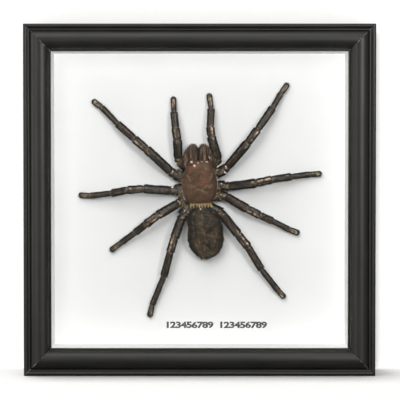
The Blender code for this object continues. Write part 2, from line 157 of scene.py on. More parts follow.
# The floor and the wall that the frame stands against: matt white seamless paper. Neither shows in
# the glass or the gloss of the paint, and the wall can be seen only from the front.
reach = 4.0  # of the floor each way and of the wall
WALL_GAP = 0.3 * MM
seamless_paper, tree, shader = new_finish("white_seamless_paper")
place = add(tree, "ShaderNodeTexCoord").outputs["Object"]
fibre = add(tree, "ShaderNodeTexNoise", {"Vector": place, "Scale": 900.0, "Detail": 4.0})
two_shades(tree, fibre.outputs["Fac"], "#f4f4f3", "#fbfbfa")
shader.inputs["Roughness"].default_value = 0.9
shader.inputs["Specular IOR Level"].default_value = 0.0
see_through = add(tree, "ShaderNodeBsdfTransparent")
from_behind = add(tree, "ShaderNodeNewGeometry").outputs["Backfacing"]
one_sided = add(tree, "ShaderNodeMixShader", {
    0: from_behind, 1: shader.outputs[0], 2: see_through.outputs[0],
})
tree.links.new(one_sided.outputs[0], tree.nodes["Material Output"].inputs["Surface"])

wall_y = high.y + WALL_GAP
SHEETS = {
    "floor": ((-reach, -reach, 0.0), (reach, -reach, 0.0), (reach, reach, 0.0), (-reach, reach, 0.0)),
    "wall": ((-reach, wall_y, 0.0), (reach, wall_y, 0.0), (reach, wall_y, reach), (-reach, wall_y, reach)),
}
sheets = {}
for name, corners in SHEETS.items():
    mesh = bpy.data.meshes.new(name)
    mesh.from_pydata(corners, [], [(0, 1, 2, 3)])
    mesh.materials.append(seamless_paper)
    sheet = bpy.data.objects.new(name, mesh)
    bpy.context.collection.objects.link(sheet)
    sheet.visible_glossy = False
    sheet.visible_transmission = False
    sheets[name] = sheet
sheets["wall"].visible_diffuse = False
sheets["wall"].visible_shadow = False


def lit_set(name, objects, state):
    """A set of objects that a lamp lights, or leaves out."""
    chosen = bpy.data.collections.new(name)
    for each in objects:
        chosen.objects.link(each)
    for link in chosen.collection_objects:
        link.light_linking.link_state = state
    return chosen


def aim(lamp, towards):
    """Turn a lamp to face a spot."""
    lamp.rotation_euler = (Vector(towards) - lamp.location).to_track_quat("-Z", "Y").to_euler()
    bpy.context.collection.objects.link(lamp)


# Softboxes: four for the frame and the spider, two for the spider alone, and three that light only the
# card behind the glass.
# Each sheet of paper has a broad lamp of its own behind the frame's soft edge of shadow.
SOFTBOXES = {
    "key_from_right": ((0.44, -0.88, 0.30), 0.26, 4.5),
    "fill_from_left": ((-0.56, -0.84, 0.13), 0.55, 2.3),
    "overhead_bank": ((-0.12, -0.58, 0.80), 0.6, 3.0),
    "left_bank": ((-0.85, -0.12, 0.22), 0.5, 1.6),
    "spider_key": ((0.42, -0.88, 0.34), 0.22, 5.0),
    "spider_fill": ((-0.18, -0.95, 0.34), 0.5, 4.0),
    "card_key": ((0.31, -0.92, 0.24), 0.15, 2.5),
    "card_window": ((-0.28, -0.92, 0.34), 0.34, 2.5),
    "card_front": ((-0.12, -0.60, 0.55), 0.6, 3.5),
}
softboxes = {}
for name, (place, size, watts) in SOFTBOXES.items():
    lamp_data = bpy.data.lights.new(name, "AREA")
    lamp_data.size = size
    lamp_data.energy = watts
    lamp_data.color = (1.0, 0.989, 1.015) if name.startswith("card") else (1.0, 0.985, 0.965)
    lamp = bpy.data.objects.new(name, lamp_data)
    lamp.location = place
    lamp.visible_transmission = False
    aim(lamp, front_middle)
    softboxes[name] = lamp

PAPER_LAMPS = {
    "wall": ((-0.125, -1.0, 0.096), 10.4, 2.15),
    "floor": ((-0.05, 0.05, 1.0), 11.0, 1.75),
}
for name, (way, disc, strength) in PAPER_LAMPS.items():
    lamp_data = bpy.data.lights.new(name + "_lamp", "SUN")
    lamp_data.angle = math.radians(disc)
    lamp_data.energy = strength
    lamp_data.color = (1.0, 0.995, 0.985)
    lamp = bpy.data.objects.new(name + "_lamp", lamp_data)
    lamp.location = Vector(way)
    aim(lamp, (0.0, 0.0, 0.0))
    lamp.light_linking.receiver_collection = lit_set(name + "_only", [sheets[name]], "INCLUDE")


# Frame moulding ----------------------------------------------------------------------------------
# Four mitred lengths of softwood moulding: a small lip, a groove, a half-round and a flat sight edge.
# They are sprayed satin black, and the paint has chipped a little along the mitres.

FRAME_SIZE = high.x - low.x
RAIL_WIDTH = 13.0 * MM
REBATE_WALL = 8.0 * MM
LIP_RADIUS = 1.1 * MM
LIP_SET_BACK = 1.6 * MM
GROOVE_WIDTH = 0.9 * MM
GROOVE_FLOOR = low.y + 2.7 * MM
STEP_WIDTH = 0.8 * MM
STEP_SET_BACK = 3.6 * MM
SHOULDER = low.y + 6.0 * MM
MITRE_GAP = 0.05 * MM
SIDE_WIDTH = high.y - low.y - LIP_SET_BACK - LIP_RADIUS
RAIL_STEPS = 120


def moulding_outline():
    """Points (u, y) round the moulding from the wall side over the front, u inwards from the edge."""
    ease = 0.35 * MM
    points = [(ease, high.y), (0.0, high.y - ease)]
    lip_y = low.y + LIP_SET_BACK + LIP_RADIUS
    for i in range(13):
        turn = math.pi * i / 12
        points.append((LIP_RADIUS * (1 - math.cos(turn)), lip_y - LIP_RADIUS * math.sin(turn)))
    groove = 2 * LIP_RADIUS
    for share in (0.15, 0.5, 0.85):
        points.append((groove + GROOVE_WIDTH * share, GROOVE_FLOOR + 0.12 * MM * math.sin(math.pi * share)))
    torus_half = (RAIL_WIDTH - STEP_WIDTH - groove - GROOVE_WIDTH) / 2
    torus_base = low.y + STEP_SET_BACK
    for i in range(1, 31):
        turn = math.pi * i / 30
        u = groove + GROOVE_WIDTH + torus_half * (1 - math.cos(turn))
        points.append((u, torus_base - STEP_SET_BACK * math.sin(turn)))
    sight = RAIL_WIDTH
    points += [(sight - 0.15 * MM, torus_base + 0.02 * MM), (sight, torus_base + 0.2 * MM)]
    points += [(sight, SHOULDER - 0.1 * MM), (sight - 0.1 * MM, SHOULDER), (REBATE_WALL, SHOULDER)]
    points += [(REBATE_WALL, high.y - 0.2 * MM), (REBATE_WALL - 0.2 * MM, high.y)]
    return points


def mesh_piece(name, bm):
    """Close a bmesh as a named object at the origin."""
    mesh = bpy.data.meshes.new(name)
    bm.to_mesh(mesh)
    bm.free()
    piece = bpy.data.objects.new(name, mesh)
    bpy.context.collection.objects.link(piece)
    return piece


def moulding_rail(name, quarter):
    """One rail, its own UV map running along it (u) and round the moulding (v), in metres."""
    outline = moulding_outline()
    half = FRAME_SIZE / 2
    travelled = [0.0]
    for (u0, y0), (u1, y1) in zip(outline, outline[1:] + outline[:1]):
        travelled.append(travelled[-1] + math.hypot(u1 - u0, y1 - y0))
    bm = bmesh.new()
    runs = bm.loops.layers.uv.new("moulding")
    turn = -quarter * math.pi / 2
    rings = []
    for step in range(RAIL_STEPS + 1):
        share = 2 * step / RAIL_STEPS - 1
        ring = []
        for u, y in outline:
            x = share * (half - u - MITRE_GAP)
            sway = 0.04 * MM * noise.noise(Vector((x * 30, u * 60, quarter * 7.0)))
            ring.append(bm.verts.new((x, y + (sway if y < SHOULDER else 0.0), u - half)))
        rings.append(ring)
    count = len(outline)
    for near, far in zip(rings, rings[1:]):
        for i in range(count):
            j = (i + 1) % count
            face = bm.faces.new((near[i], near[j], far[j], far[i]))
            face.smooth = True
            for loop, v in zip(face.loops, (travelled[i], travelled[i + 1], travelled[i + 1], travelled[i])):
                loop[runs].uv = (loop.vert.co.x + quarter * 0.37, v)
    for ring in (rings[0], rings[-1]):
        cap = bm.faces.new(ring)
        for loop in cap.loops:
            loop[runs].uv = (loop.vert.co.y + quarter * 0.37, loop.vert.co.z)
    bmesh.ops.recalc_face_normals(bm, faces=bm.faces)
    middle = Vector((0.0, 0.0, (low.z + high.z) / 2))
    matrix = Euler((0.0, turn, 0.0)).to_matrix()
    for vert in bm.verts:
        vert.co = matrix @ vert.co + middle
    piece = mesh_piece(name, bm)
    piece.data.set_sharp_from_angle(angle=math.radians(35))
    return piece


# Satin black lacquer sprayed on softwood: a thin film that leaves fine lengthwise grain and brush-fine
# ripples showing in the gloss, a duller outer side, and bare pale wood where a corner has chipped.
satin_black_lacquer, tree, shader = new_finish("satin_black_lacquer_on_softwood")
along = add(tree, "ShaderNodeUVMap", uv_map="moulding").outputs["UV"]
stretched = add(tree, "ShaderNodeMapping", {"Vector": along, "Scale": (1 / 0.030, 1 / 0.0011, 1.0)})
grain = add(tree, "ShaderNodeTexNoise", {
    "Vector": stretched.outputs[0], "Scale": 1.0, "Detail": 5.0, "Roughness": 0.62,
})
cloudy = add(tree, "ShaderNodeMapping", {"Vector": along, "Scale": (1 / 0.018, 1 / 0.006, 1.0)})
patches = add(tree, "ShaderNodeTexNoise", {"Vector": cloudy.outputs[0], "Scale": 1.0, "Detail": 3.0})
place = add(tree, "ShaderNodeTexCoord").outputs["Object"]
centred = add(tree, "ShaderNodeMapping", {"Vector": place, "Location": (0.0, 0.0, -FRAME_SIZE / 2)})
parts = add(tree, "ShaderNodeSeparateXYZ", {0: centred.outputs[0]})
across = add(tree, "ShaderNodeMath", {0: parts.outputs["X"]}, operation="ABSOLUTE")
upright = add(tree, "ShaderNodeMath", {0: parts.outputs["Z"]}, operation="ABSOLUTE")
apart = add(tree, "ShaderNodeMath", {0: across.outputs[0], 1: upright.outputs[0]}, operation="SUBTRACT")
apart = add(tree, "ShaderNodeMath", {0: apart.outputs[0]}, operation="ABSOLUTE")
near_mitre = add(tree, "ShaderNodeMapRange", {
    "Value": apart.outputs[0], "From Min": 0.75 * MM, "From Max": 0.1 * MM,
})
chips = add(tree, "ShaderNodeTexNoise", {"Vector": place, "Scale": 620.0, "Detail": 2.0})
chipped = add(tree, "ShaderNodeMath", {
    0: near_mitre.outputs[0], 1: chips.outputs["Fac"],
}, operation="MULTIPLY")
bare = add(tree, "ShaderNodeMapRange", {"Value": chipped.outputs[0], "From Min": 0.5, "From Max": 0.58})
round_moulding = add(tree, "ShaderNodeSeparateXYZ", {0: along}).outputs["Y"]
outer_side = add(tree, "ShaderNodeMapRange", {
    "Value": round_moulding, "From Min": SIDE_WIDTH + 1.3 * MM, "From Max": SIDE_WIDTH + 0.5 * MM,
})
black = add(tree, "ShaderNodeValToRGB", {"Fac": patches.outputs["Fac"]})
black.color_ramp.elements[0].position = 0.3
black.color_ramp.elements[0].color = linear("#131311")
black.color_ramp.elements[1].position = 0.75
black.color_ramp.elements[1].color = linear("#1d1c1a")
worn = add(tree, "ShaderNodeMix", {
    0: bare.outputs[0], 6: black.outputs["Color"], 7: linear("#8d8272"),
}, data_type="RGBA")
tree.links.new(worn.outputs[2], shader.inputs["Base Color"])
gloss = add(tree, "ShaderNodeMapRange", {
    "Value": grain.outputs["Fac"], "From Min": 0.3, "From Max": 0.7, "To Min": 0.36, "To Max": 0.48,
})
gloss = add(tree, "ShaderNodeMath", {
    0: bare.outputs[0], 1: 0.35, 2: gloss.outputs[0],
}, operation="MULTIPLY_ADD")
gloss = add(tree, "ShaderNodeMath", {
    0: outer_side.outputs[0], 1: 0.4, 2: gloss.outputs[0],
}, operation="MULTIPLY_ADD")
tree.links.new(gloss.outputs[0], shader.inputs["Roughness"])
shader.inputs["Specular IOR Level"].default_value = 0.42
bump = add(tree, "ShaderNodeBump", {"Height": grain.outputs["Fac"], "Strength": 0.22, "Distance": 0.12 * MM})
nicks = add(tree, "ShaderNodeBump", {
    "Height": bare.outputs[0], "Strength": 0.6, "Distance": -0.12 * MM, "Normal": bump.outputs["Normal"],
})
tree.links.new(nicks.outputs["Normal"], shader.inputs["Normal"])

rails = []
for quarter, side in enumerate(("bottom", "right", "top", "left")):
    rail = moulding_rail("moulding_" + side, quarter)
    rails.append(rail)
    rail.data.materials.append(satin_black_lacquer)
    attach(rail, "root")
    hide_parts("rail_" + side)


# Glass pane --------------------------------------------------------------------------------------
# A sheet of 2 mm window glass that bears on the shoulder of the rebate. It is clean, with a trace of
# handling haze, and lets the lamps through to the card.

float_glass, tree, shader = new_finish("clear_float_glass")
shader.inputs["Base Color"].default_value = linear("#fbfcfb")
shader.inputs["Transmission Weight"].default_value = 1.0
shader.inputs["IOR"].default_value = 1.5
place = add(tree, "ShaderNodeTexCoord").outputs["Object"]
wiped = add(tree, "ShaderNodeMapping", {
    "Vector": place, "Scale": (9.0, 9.0, 26.0), "Rotation": (0.0, 0.5, 0.0),
})
smears = add(tree, "ShaderNodeTexNoise", {"Vector": wiped.outputs[0], "Scale": 1.6, "Detail": 4.0})
haze = add(tree, "ShaderNodeMapRange", {
    "Value": smears.outputs["Fac"], "From Min": 0.45, "From Max": 0.8, "To Min": 0.0, "To Max": 0.035,
})
tree.links.new(haze.outputs[0], shader.inputs["Roughness"])
passing = add(tree, "ShaderNodeBsdfTransparent", {"Color": (0.985, 0.99, 0.986, 1.0)})
lamp_ray = add(tree, "ShaderNodeLightPath").outputs["Is Shadow Ray"]
pane = add(tree, "ShaderNodeMixShader", {0: lamp_ray, 1: shader.outputs[0], 2: passing.outputs[0]})
tree.links.new(pane.outputs[0], tree.nodes["Material Output"].inputs["Surface"])


def dress(node_name, material):
    """Give a carried-over piece its finish."""
    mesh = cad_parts[node_name].data
    mesh.materials.clear()
    mesh.materials.append(material)


dress("glass_pane", float_glass)


# Spacer strips -----------------------------------------------------------------------------------
# Strips of 5 mm white foam board stood on edge between the glass and the card. Their paper faces
# show as a thin white wall inside the sight edge.

foam_board_paper, tree, shader = new_finish("white_foam_board_paper")
place = add(tree, "ShaderNodeTexCoord").outputs["Object"]
fibre = add(tree, "ShaderNodeTexNoise", {"Vector": place, "Scale": 1500.0, "Detail": 3.0})
two_shades(tree, fibre.outputs["Fac"], "#eeedea", "#f9f9f7")
shader.inputs["Roughness"].default_value = 0.7
bump = add(tree, "ShaderNodeBump", {"Height": fibre.outputs["Fac"], "Strength": 0.25, "Distance": 0.05 * MM})
tree.links.new(bump.outputs["Normal"], shader.inputs["Normal"])
for side in ("top", "bottom", "left", "right"):
    dress("spacer_" + side, foam_board_paper)


# Mount card --------------------------------------------------------------------------------------
# A sheet of smooth uncoated white card, faintly mottled. It carries one typed line of plain figures
# near its lower edge.

uncoated_card, tree, shader = new_finish("smooth_uncoated_white_card")
place = add(tree, "ShaderNodeTexCoord").outputs["Object"]
fibre = add(tree, "ShaderNodeTexNoise", {"Vector": place, "Scale": 1300.0, "Detail": 4.0, "Roughness": 0.7})
cloud = add(tree, "ShaderNodeTexNoise", {"Vector": place, "Scale": 38.0, "Detail": 3.0})
mottle = add(tree, "ShaderNodeMix", {
    0: 0.35, 2: cloud.outputs["Fac"], 3: fibre.outputs["Fac"],
}, data_type="FLOAT")
two_shades(tree, mottle.outputs[0], "#f4f4f1", "#fafaf9", 0.3, 0.7)
shader.inputs["Roughness"].default_value = 0.8
shader.inputs["Specular IOR Level"].default_value = 0.3
bump = add(tree, "ShaderNodeBump", {"Height": fibre.outputs["Fac"], "Strength": 0.3, "Distance": 0.04 * MM})
tree.links.new(bump.outputs["Normal"], shader.inputs["Normal"])
dress("mount_card", uncoated_card)

CARD_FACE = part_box("mount_card")[0].y
SPIDER_Z = low.z + 92.0 * MM
FIGURES = "123456789 123456789"
FIGURE_PITCH = 2.63 * MM
FIGURE_HEIGHT = 3.0 * MM
FIGURE_STRETCH = 1.4  # typed figures are broader than the font's
RELIEF = 0.004  # of a figure, in the font's own units
LINE_LEFT = -15.65 * MM
LINE_FOOT = SPIDER_Z - 71.2 * MM
INK_THICKNESS = 0.02 * MM

bm = bmesh.new()
for number, figure in enumerate(FIGURES):
    if figure == " ":
        continue
    typed = bpy.data.curves.new("typed_figure", "FONT")
    typed.body = figure
    typed.align_x = "CENTER"
    typed.size = 1.0
    typed.extrude = RELIEF
    typed.offset = 0.04
    typed.resolution_u = 3
    stamp = bpy.data.objects.new("typed_figure", typed)
    bpy.context.collection.objects.link(stamp)
    bpy.context.view_layer.update()
    glyph = bpy.data.meshes.new_from_object(stamp)
    bpy.data.objects.remove(stamp)
    tallest = max(vert.co.y for vert in glyph.vertices)
    size = FIGURE_HEIGHT / tallest
    lift = 0.12 * MM * noise.noise(Vector((number * 3.7, 0.0, 0.0)))
    for vert in glyph.vertices:
        x, y, z = vert.co
        vert.co = (
            LINE_LEFT + number * FIGURE_PITCH + x * size * FIGURE_STRETCH,
            CARD_FACE - 0.5 * INK_THICKNESS - z / RELIEF * 0.5 * INK_THICKNESS,
            LINE_FOOT + lift + y * size,
        )
    bm.from_mesh(glyph)
    bpy.data.meshes.remove(glyph)
bmesh.ops.recalc_face_normals(bm, faces=bm.faces)
typed_line = mesh_piece("typed_figures", bm)

# Ribbon ink struck into card: a dull grey-black that is thin where the type struck lightly.
ribbon_ink, tree, shader = new_finish("typewriter_ribbon_ink")
place = add(tree, "ShaderNodeTexCoord").outputs["Object"]
strike = add(tree, "ShaderNodeTexNoise", {"Vector": place, "Scale": 900.0, "Detail": 3.0})
two_shades(tree, strike.outputs["Fac"], "#333232", "#666462", 0.35, 0.72)
shader.inputs["Roughness"].default_value = 0.75
typed_line.data.materials.append(ribbon_ink)
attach(typed_line, "root")

# The three card lamps light only the card, its strips and the typing. The two spider lamps skip those,
# the rails, the glass and the paper, and the rest skip all of these but the rails. Five lamps are not
# shadowed by the rails or the strips.
strips = [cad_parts["spacer_" + side] for side in ("top", "bottom", "left", "right")]
card_parts = [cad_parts["mount_card"], typed_line, *strips]
card_alone = lit_set("card_alone", card_parts, "INCLUDE")
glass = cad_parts["glass_pane"]
not_card = lit_set("not_card", [*sheets.values(), glass, *card_parts], "EXCLUDE")
spider_alone = lit_set("spider_alone", [*sheets.values(), glass, *card_parts, *rails], "EXCLUDE")
LIT_BY = {"card": card_alone, "spider": spider_alone}
for name, lamp in softboxes.items():
    lamp.light_linking.receiver_collection = LIT_BY.get(name.split("_")[0], not_card)
past_rails = lit_set("past_rails", rails + strips, "EXCLUDE")
for name in ("overhead_bank", "card_key", "card_front", "spider_key", "spider_fill"):
    softboxes[name].light_linking.blocker_collection = past_rails


# Back board and its fixings ----------------------------------------------------------------------
# A sheet of hardboard, smooth face in and screen-marked face out, held by flat steel points pushed
# into the rails. A brass-plated sawtooth hanger is riveted to it.

hardboard, tree, shader = new_finish("pressed_wood_fibre_hardboard")
place = add(tree, "ShaderNodeTexCoord").outputs["Object"]
strands = add(tree, "ShaderNodeTexNoise", {"Vector": place, "Scale": 420.0, "Detail": 6.0, "Roughness": 0.72})
blotch = add(tree, "ShaderNodeTexNoise", {"Vector": place, "Scale": 45.0, "Detail": 3.0})
shade = add(tree, "ShaderNodeMix", {
    0: 0.4, 2: strands.outputs["Fac"], 3: blotch.outputs["Fac"],
}, data_type="FLOAT")
two_shades(tree, shade.outputs[0], "#5d4129", "#94704b", 0.34, 0.66)
shader.inputs["Roughness"].default_value = 0.78
# The wire screen of the press leaves a woven dimple every 1.4 mm.
screen_x = add(tree, "ShaderNodeTexWave", {
    "Vector": place, "Scale": 225.0, "Distortion": 0.6, "Detail": 2.0,
}, bands_direction="X")
screen_z = add(tree, "ShaderNodeTexWave", {
    "Vector": place, "Scale": 225.0, "Distortion": 0.6, "Detail": 2.0,
}, bands_direction="Z")
woven = add(tree, "ShaderNodeMath", {
    0: screen_x.outputs["Fac"], 1: screen_z.outputs["Fac"],
}, operation="MULTIPLY")
pressed = add(tree, "ShaderNodeBump", {"Height": woven.outputs[0], "Strength": 0.5, "Distance": 0.15 * MM})
rough = add(tree, "ShaderNodeBump", {
    "Height": strands.outputs["Fac"], "Strength": 0.35, "Distance": 0.1 * MM,
    "Normal": pressed.outputs["Normal"],
})
tree.links.new(rough.outputs["Normal"], shader.inputs["Normal"])
dress("back_board", hardboard)

# Thin zinc plate on stamped steel: a dull grey metal with a faint spangle and rolling scratches.
zinc_plate, tree, shader = new_finish("zinc_plated_stamped_steel")
shader.inputs["Metallic"].default_value = 1.0
place = add(tree, "ShaderNodeTexCoord").outputs["Object"]
spangle = add(tree, "ShaderNodeTexVoronoi", {"Vector": place, "Scale": 700.0})
two_shades(tree, spangle.outputs["Color"], "#a7a8aa", "#c6c7c8")
scratch_space = add(tree, "ShaderNodeMapping", {"Vector": place, "Scale": (4000.0, 400.0, 400.0)})
scratches = add(tree, "ShaderNodeTexNoise", {"Vector": scratch_space.outputs[0], "Scale": 1.0, "Detail": 3.0})
dull = add(tree, "ShaderNodeMapRange", {"Value": scratches.outputs["Fac"], "To Min": 0.32, "To Max": 0.55})
tree.links.new(dull.outputs[0], shader.inputs["Roughness"])
for side in ("top", "bottom", "left", "right"):
    for number in (1, 2):
        dress(f"steel_point_{side}_{number}", zinc_plate)

# Brass plate on stamped steel: warm yellow metal, tarnished brown in soft patches.
brass_plate, tree, shader = new_finish("brass_plated_stamped_steel")
shader.inputs["Metallic"].default_value = 1.0
place = add(tree, "ShaderNodeTexCoord").outputs["Object"]
tarnish = add(tree, "ShaderNodeTexNoise", {"Vector": place, "Scale": 260.0, "Detail": 4.0})
two_shades(tree, tarnish.outputs["Fac"], "#a27c3c", "#cfae63", 0.35, 0.65)
dull = add(tree, "ShaderNodeMapRange", {"Value": tarnish.outputs["Fac"], "To Min": 0.45, "To Max": 0.24})
tree.links.new(dull.outputs[0], shader.inputs["Roughness"])
for name in ("sawtooth_hanger", "rivet_left", "rivet_right"):
    dress(name, brass_plate)


# Glue dabs ---------------------------------------------------------------------------------------
# Hot-melt glue under the breastplate and the abdomen: cloudy, slightly yellow and smooth.

hot_melt, tree, shader = new_finish("cloudy_hot_melt_glue")
place = add(tree, "ShaderNodeTexCoord").outputs["Object"]
cloud = add(tree, "ShaderNodeTexNoise", {"Vector": place, "Scale": 500.0, "Detail": 2.0})
two_shades(tree, cloud.outputs["Fac"], "#cfc4a0", "#e6dfc8")
shader.inputs["Roughness"].default_value = 0.3
dress("glue_dab_front", hot_melt)
dress("glue_dab_rear", hot_melt)


# Spider: cuticle and hair ------------------------------------------------------------------------
# The dried body wall is thin brown-black horn. Nearly all of it is coated with short lying hair, with
# longer bristles standing out of it; bare stripes and the joint skins show pale.

# Every body shell carries these, and the hair takes them over: grow (the way the hair lies), cover
# (how much hair), crest (painted highlight, 1 on the upper side), bare (bald marks) and skin (joint skin).
def point_layers(bm):
    """The layers that a body shell carries."""
    floats = bm.verts.layers.float
    return {
        "grow": bm.verts.layers.float_vector.new("grow"),
        "cover": floats.new("cover"),
        "crest": floats.new("crest"),
        "bare": floats.new("bare"),
        "skin": floats.new("skin"),
    }


def shell_material(name, deep, top, bare_colour, skin_colour, grit):
    """Body wall under the hair, with a painted highlight on top; the bald marks and joint skins are paler."""
    material, tree, shader = new_finish(name)
    place = add(tree, "ShaderNodeTexCoord").outputs["Object"]
    speckle = add(tree, "ShaderNodeTexNoise", {
        "Vector": place, "Scale": 1.0 / grit, "Detail": 4.0, "Roughness": 0.65,
    })
    crest = add(tree, "ShaderNodeAttribute", attribute_name="crest").outputs["Fac"]
    bare = add(tree, "ShaderNodeAttribute", attribute_name="bare").outputs["Fac"]
    skin = add(tree, "ShaderNodeAttribute", attribute_name="skin").outputs["Fac"]
    # Towards the crest the wall goes from the deep colour to the top one: a painted highlight.
    lit = add(tree, "ShaderNodeMath", {0: crest, 1: speckle.outputs["Fac"]}, operation="MULTIPLY")
    wall = add(tree, "ShaderNodeMix", {0: lit.outputs[0], 6: linear(deep), 7: linear(top)}, data_type="RGBA")
    patchy = add(tree, "ShaderNodeMapRange", {
        "Value": speckle.outputs["Fac"], "From Min": 0.35, "From Max": 0.6, "To Min": 0.6,
    })
    rubbed = add(tree, "ShaderNodeMath", {
        0: bare, 1: patchy.outputs[0],
    }, operation="MULTIPLY", use_clamp=True)
    wall = add(tree, "ShaderNodeMix", {
        0: rubbed.outputs[0], 6: wall.outputs[2], 7: linear(bare_colour),
    }, data_type="RGBA")
    loose = add(tree, "ShaderNodeMath", {0: skin, 1: patchy.outputs[0]}, operation="MULTIPLY", use_clamp=True)
    wall = add(tree, "ShaderNodeMix", {
        0: loose.outputs[0], 6: wall.outputs[2], 7: linear(skin_colour),
    }, data_type="RGBA")
    tree.links.new(wall.outputs[2], shader.inputs["Base Color"])
    sheen = add(tree, "ShaderNodeMapRange", {"Value": speckle.outputs["Fac"], "To Min": 0.34, "To Max": 0.6})
    tree.links.new(sheen.outputs[0], shader.inputs["Roughness"])
    bump = add(tree, "ShaderNodeBump", {
        "Height": speckle.outputs["Fac"], "Strength": 0.5, "Distance": 0.12 * MM,
    })
    tree.links.new(bump.outputs["Normal"], shader.inputs["Normal"])
    return material


def hair_material(name, root, shaft, tip_colour, crest_colour, crest_share):
    """Keratin-like hair: dark at the root, paler to the tip, with a painted highlight on the side that faces
    up.
    """
    material, tree, shader = new_finish(name)
    tone = add(tree, "ShaderNodeAttribute", attribute_name="tone").outputs["Fac"]
    tip = add(tree, "ShaderNodeAttribute", attribute_name="tip").outputs["Fac"]
    crest = add(tree, "ShaderNodeAttribute", attribute_name="crest").outputs["Fac"]
    length = add(tree, "ShaderNodeValToRGB", {"Fac": tip})
    length.color_ramp.elements[0].color = linear(root)
    length.color_ramp.elements[1].color = linear(tip_colour)
    middle = length.color_ramp.elements.new(0.45)
    middle.color = linear(shaft)
    # The crest colour over the side that faces up is a painted highlight.
    painted_top_light = add(tree, "ShaderNodeMath", {0: crest, 1: tone}, operation="MULTIPLY")
    painted_top_light = add(tree, "ShaderNodeMath", {
        0: painted_top_light.outputs[0], 1: crest_share,
    }, operation="MULTIPLY", use_clamp=True)
    coat = add(tree, "ShaderNodeMix", {
        0: painted_top_light.outputs[0], 6: length.outputs["Color"], 7: linear(crest_colour),
    }, data_type="RGBA")
    shade = add(tree, "ShaderNodeMapRange", {"Value": tone, "To Min": 0.35, "To Max": 1.45})
    varied = add(tree, "ShaderNodeMix", {
        0: 1.0, 6: coat.outputs[2], 7: shade.outputs[0],
    }, data_type="RGBA", blend_type="MULTIPLY")
    tree.links.new(varied.outputs[2], shader.inputs["Base Color"])
    shader.inputs["Roughness"].default_value = 0.55
    shader.inputs["Specular IOR Level"].default_value = 0.14
    return material


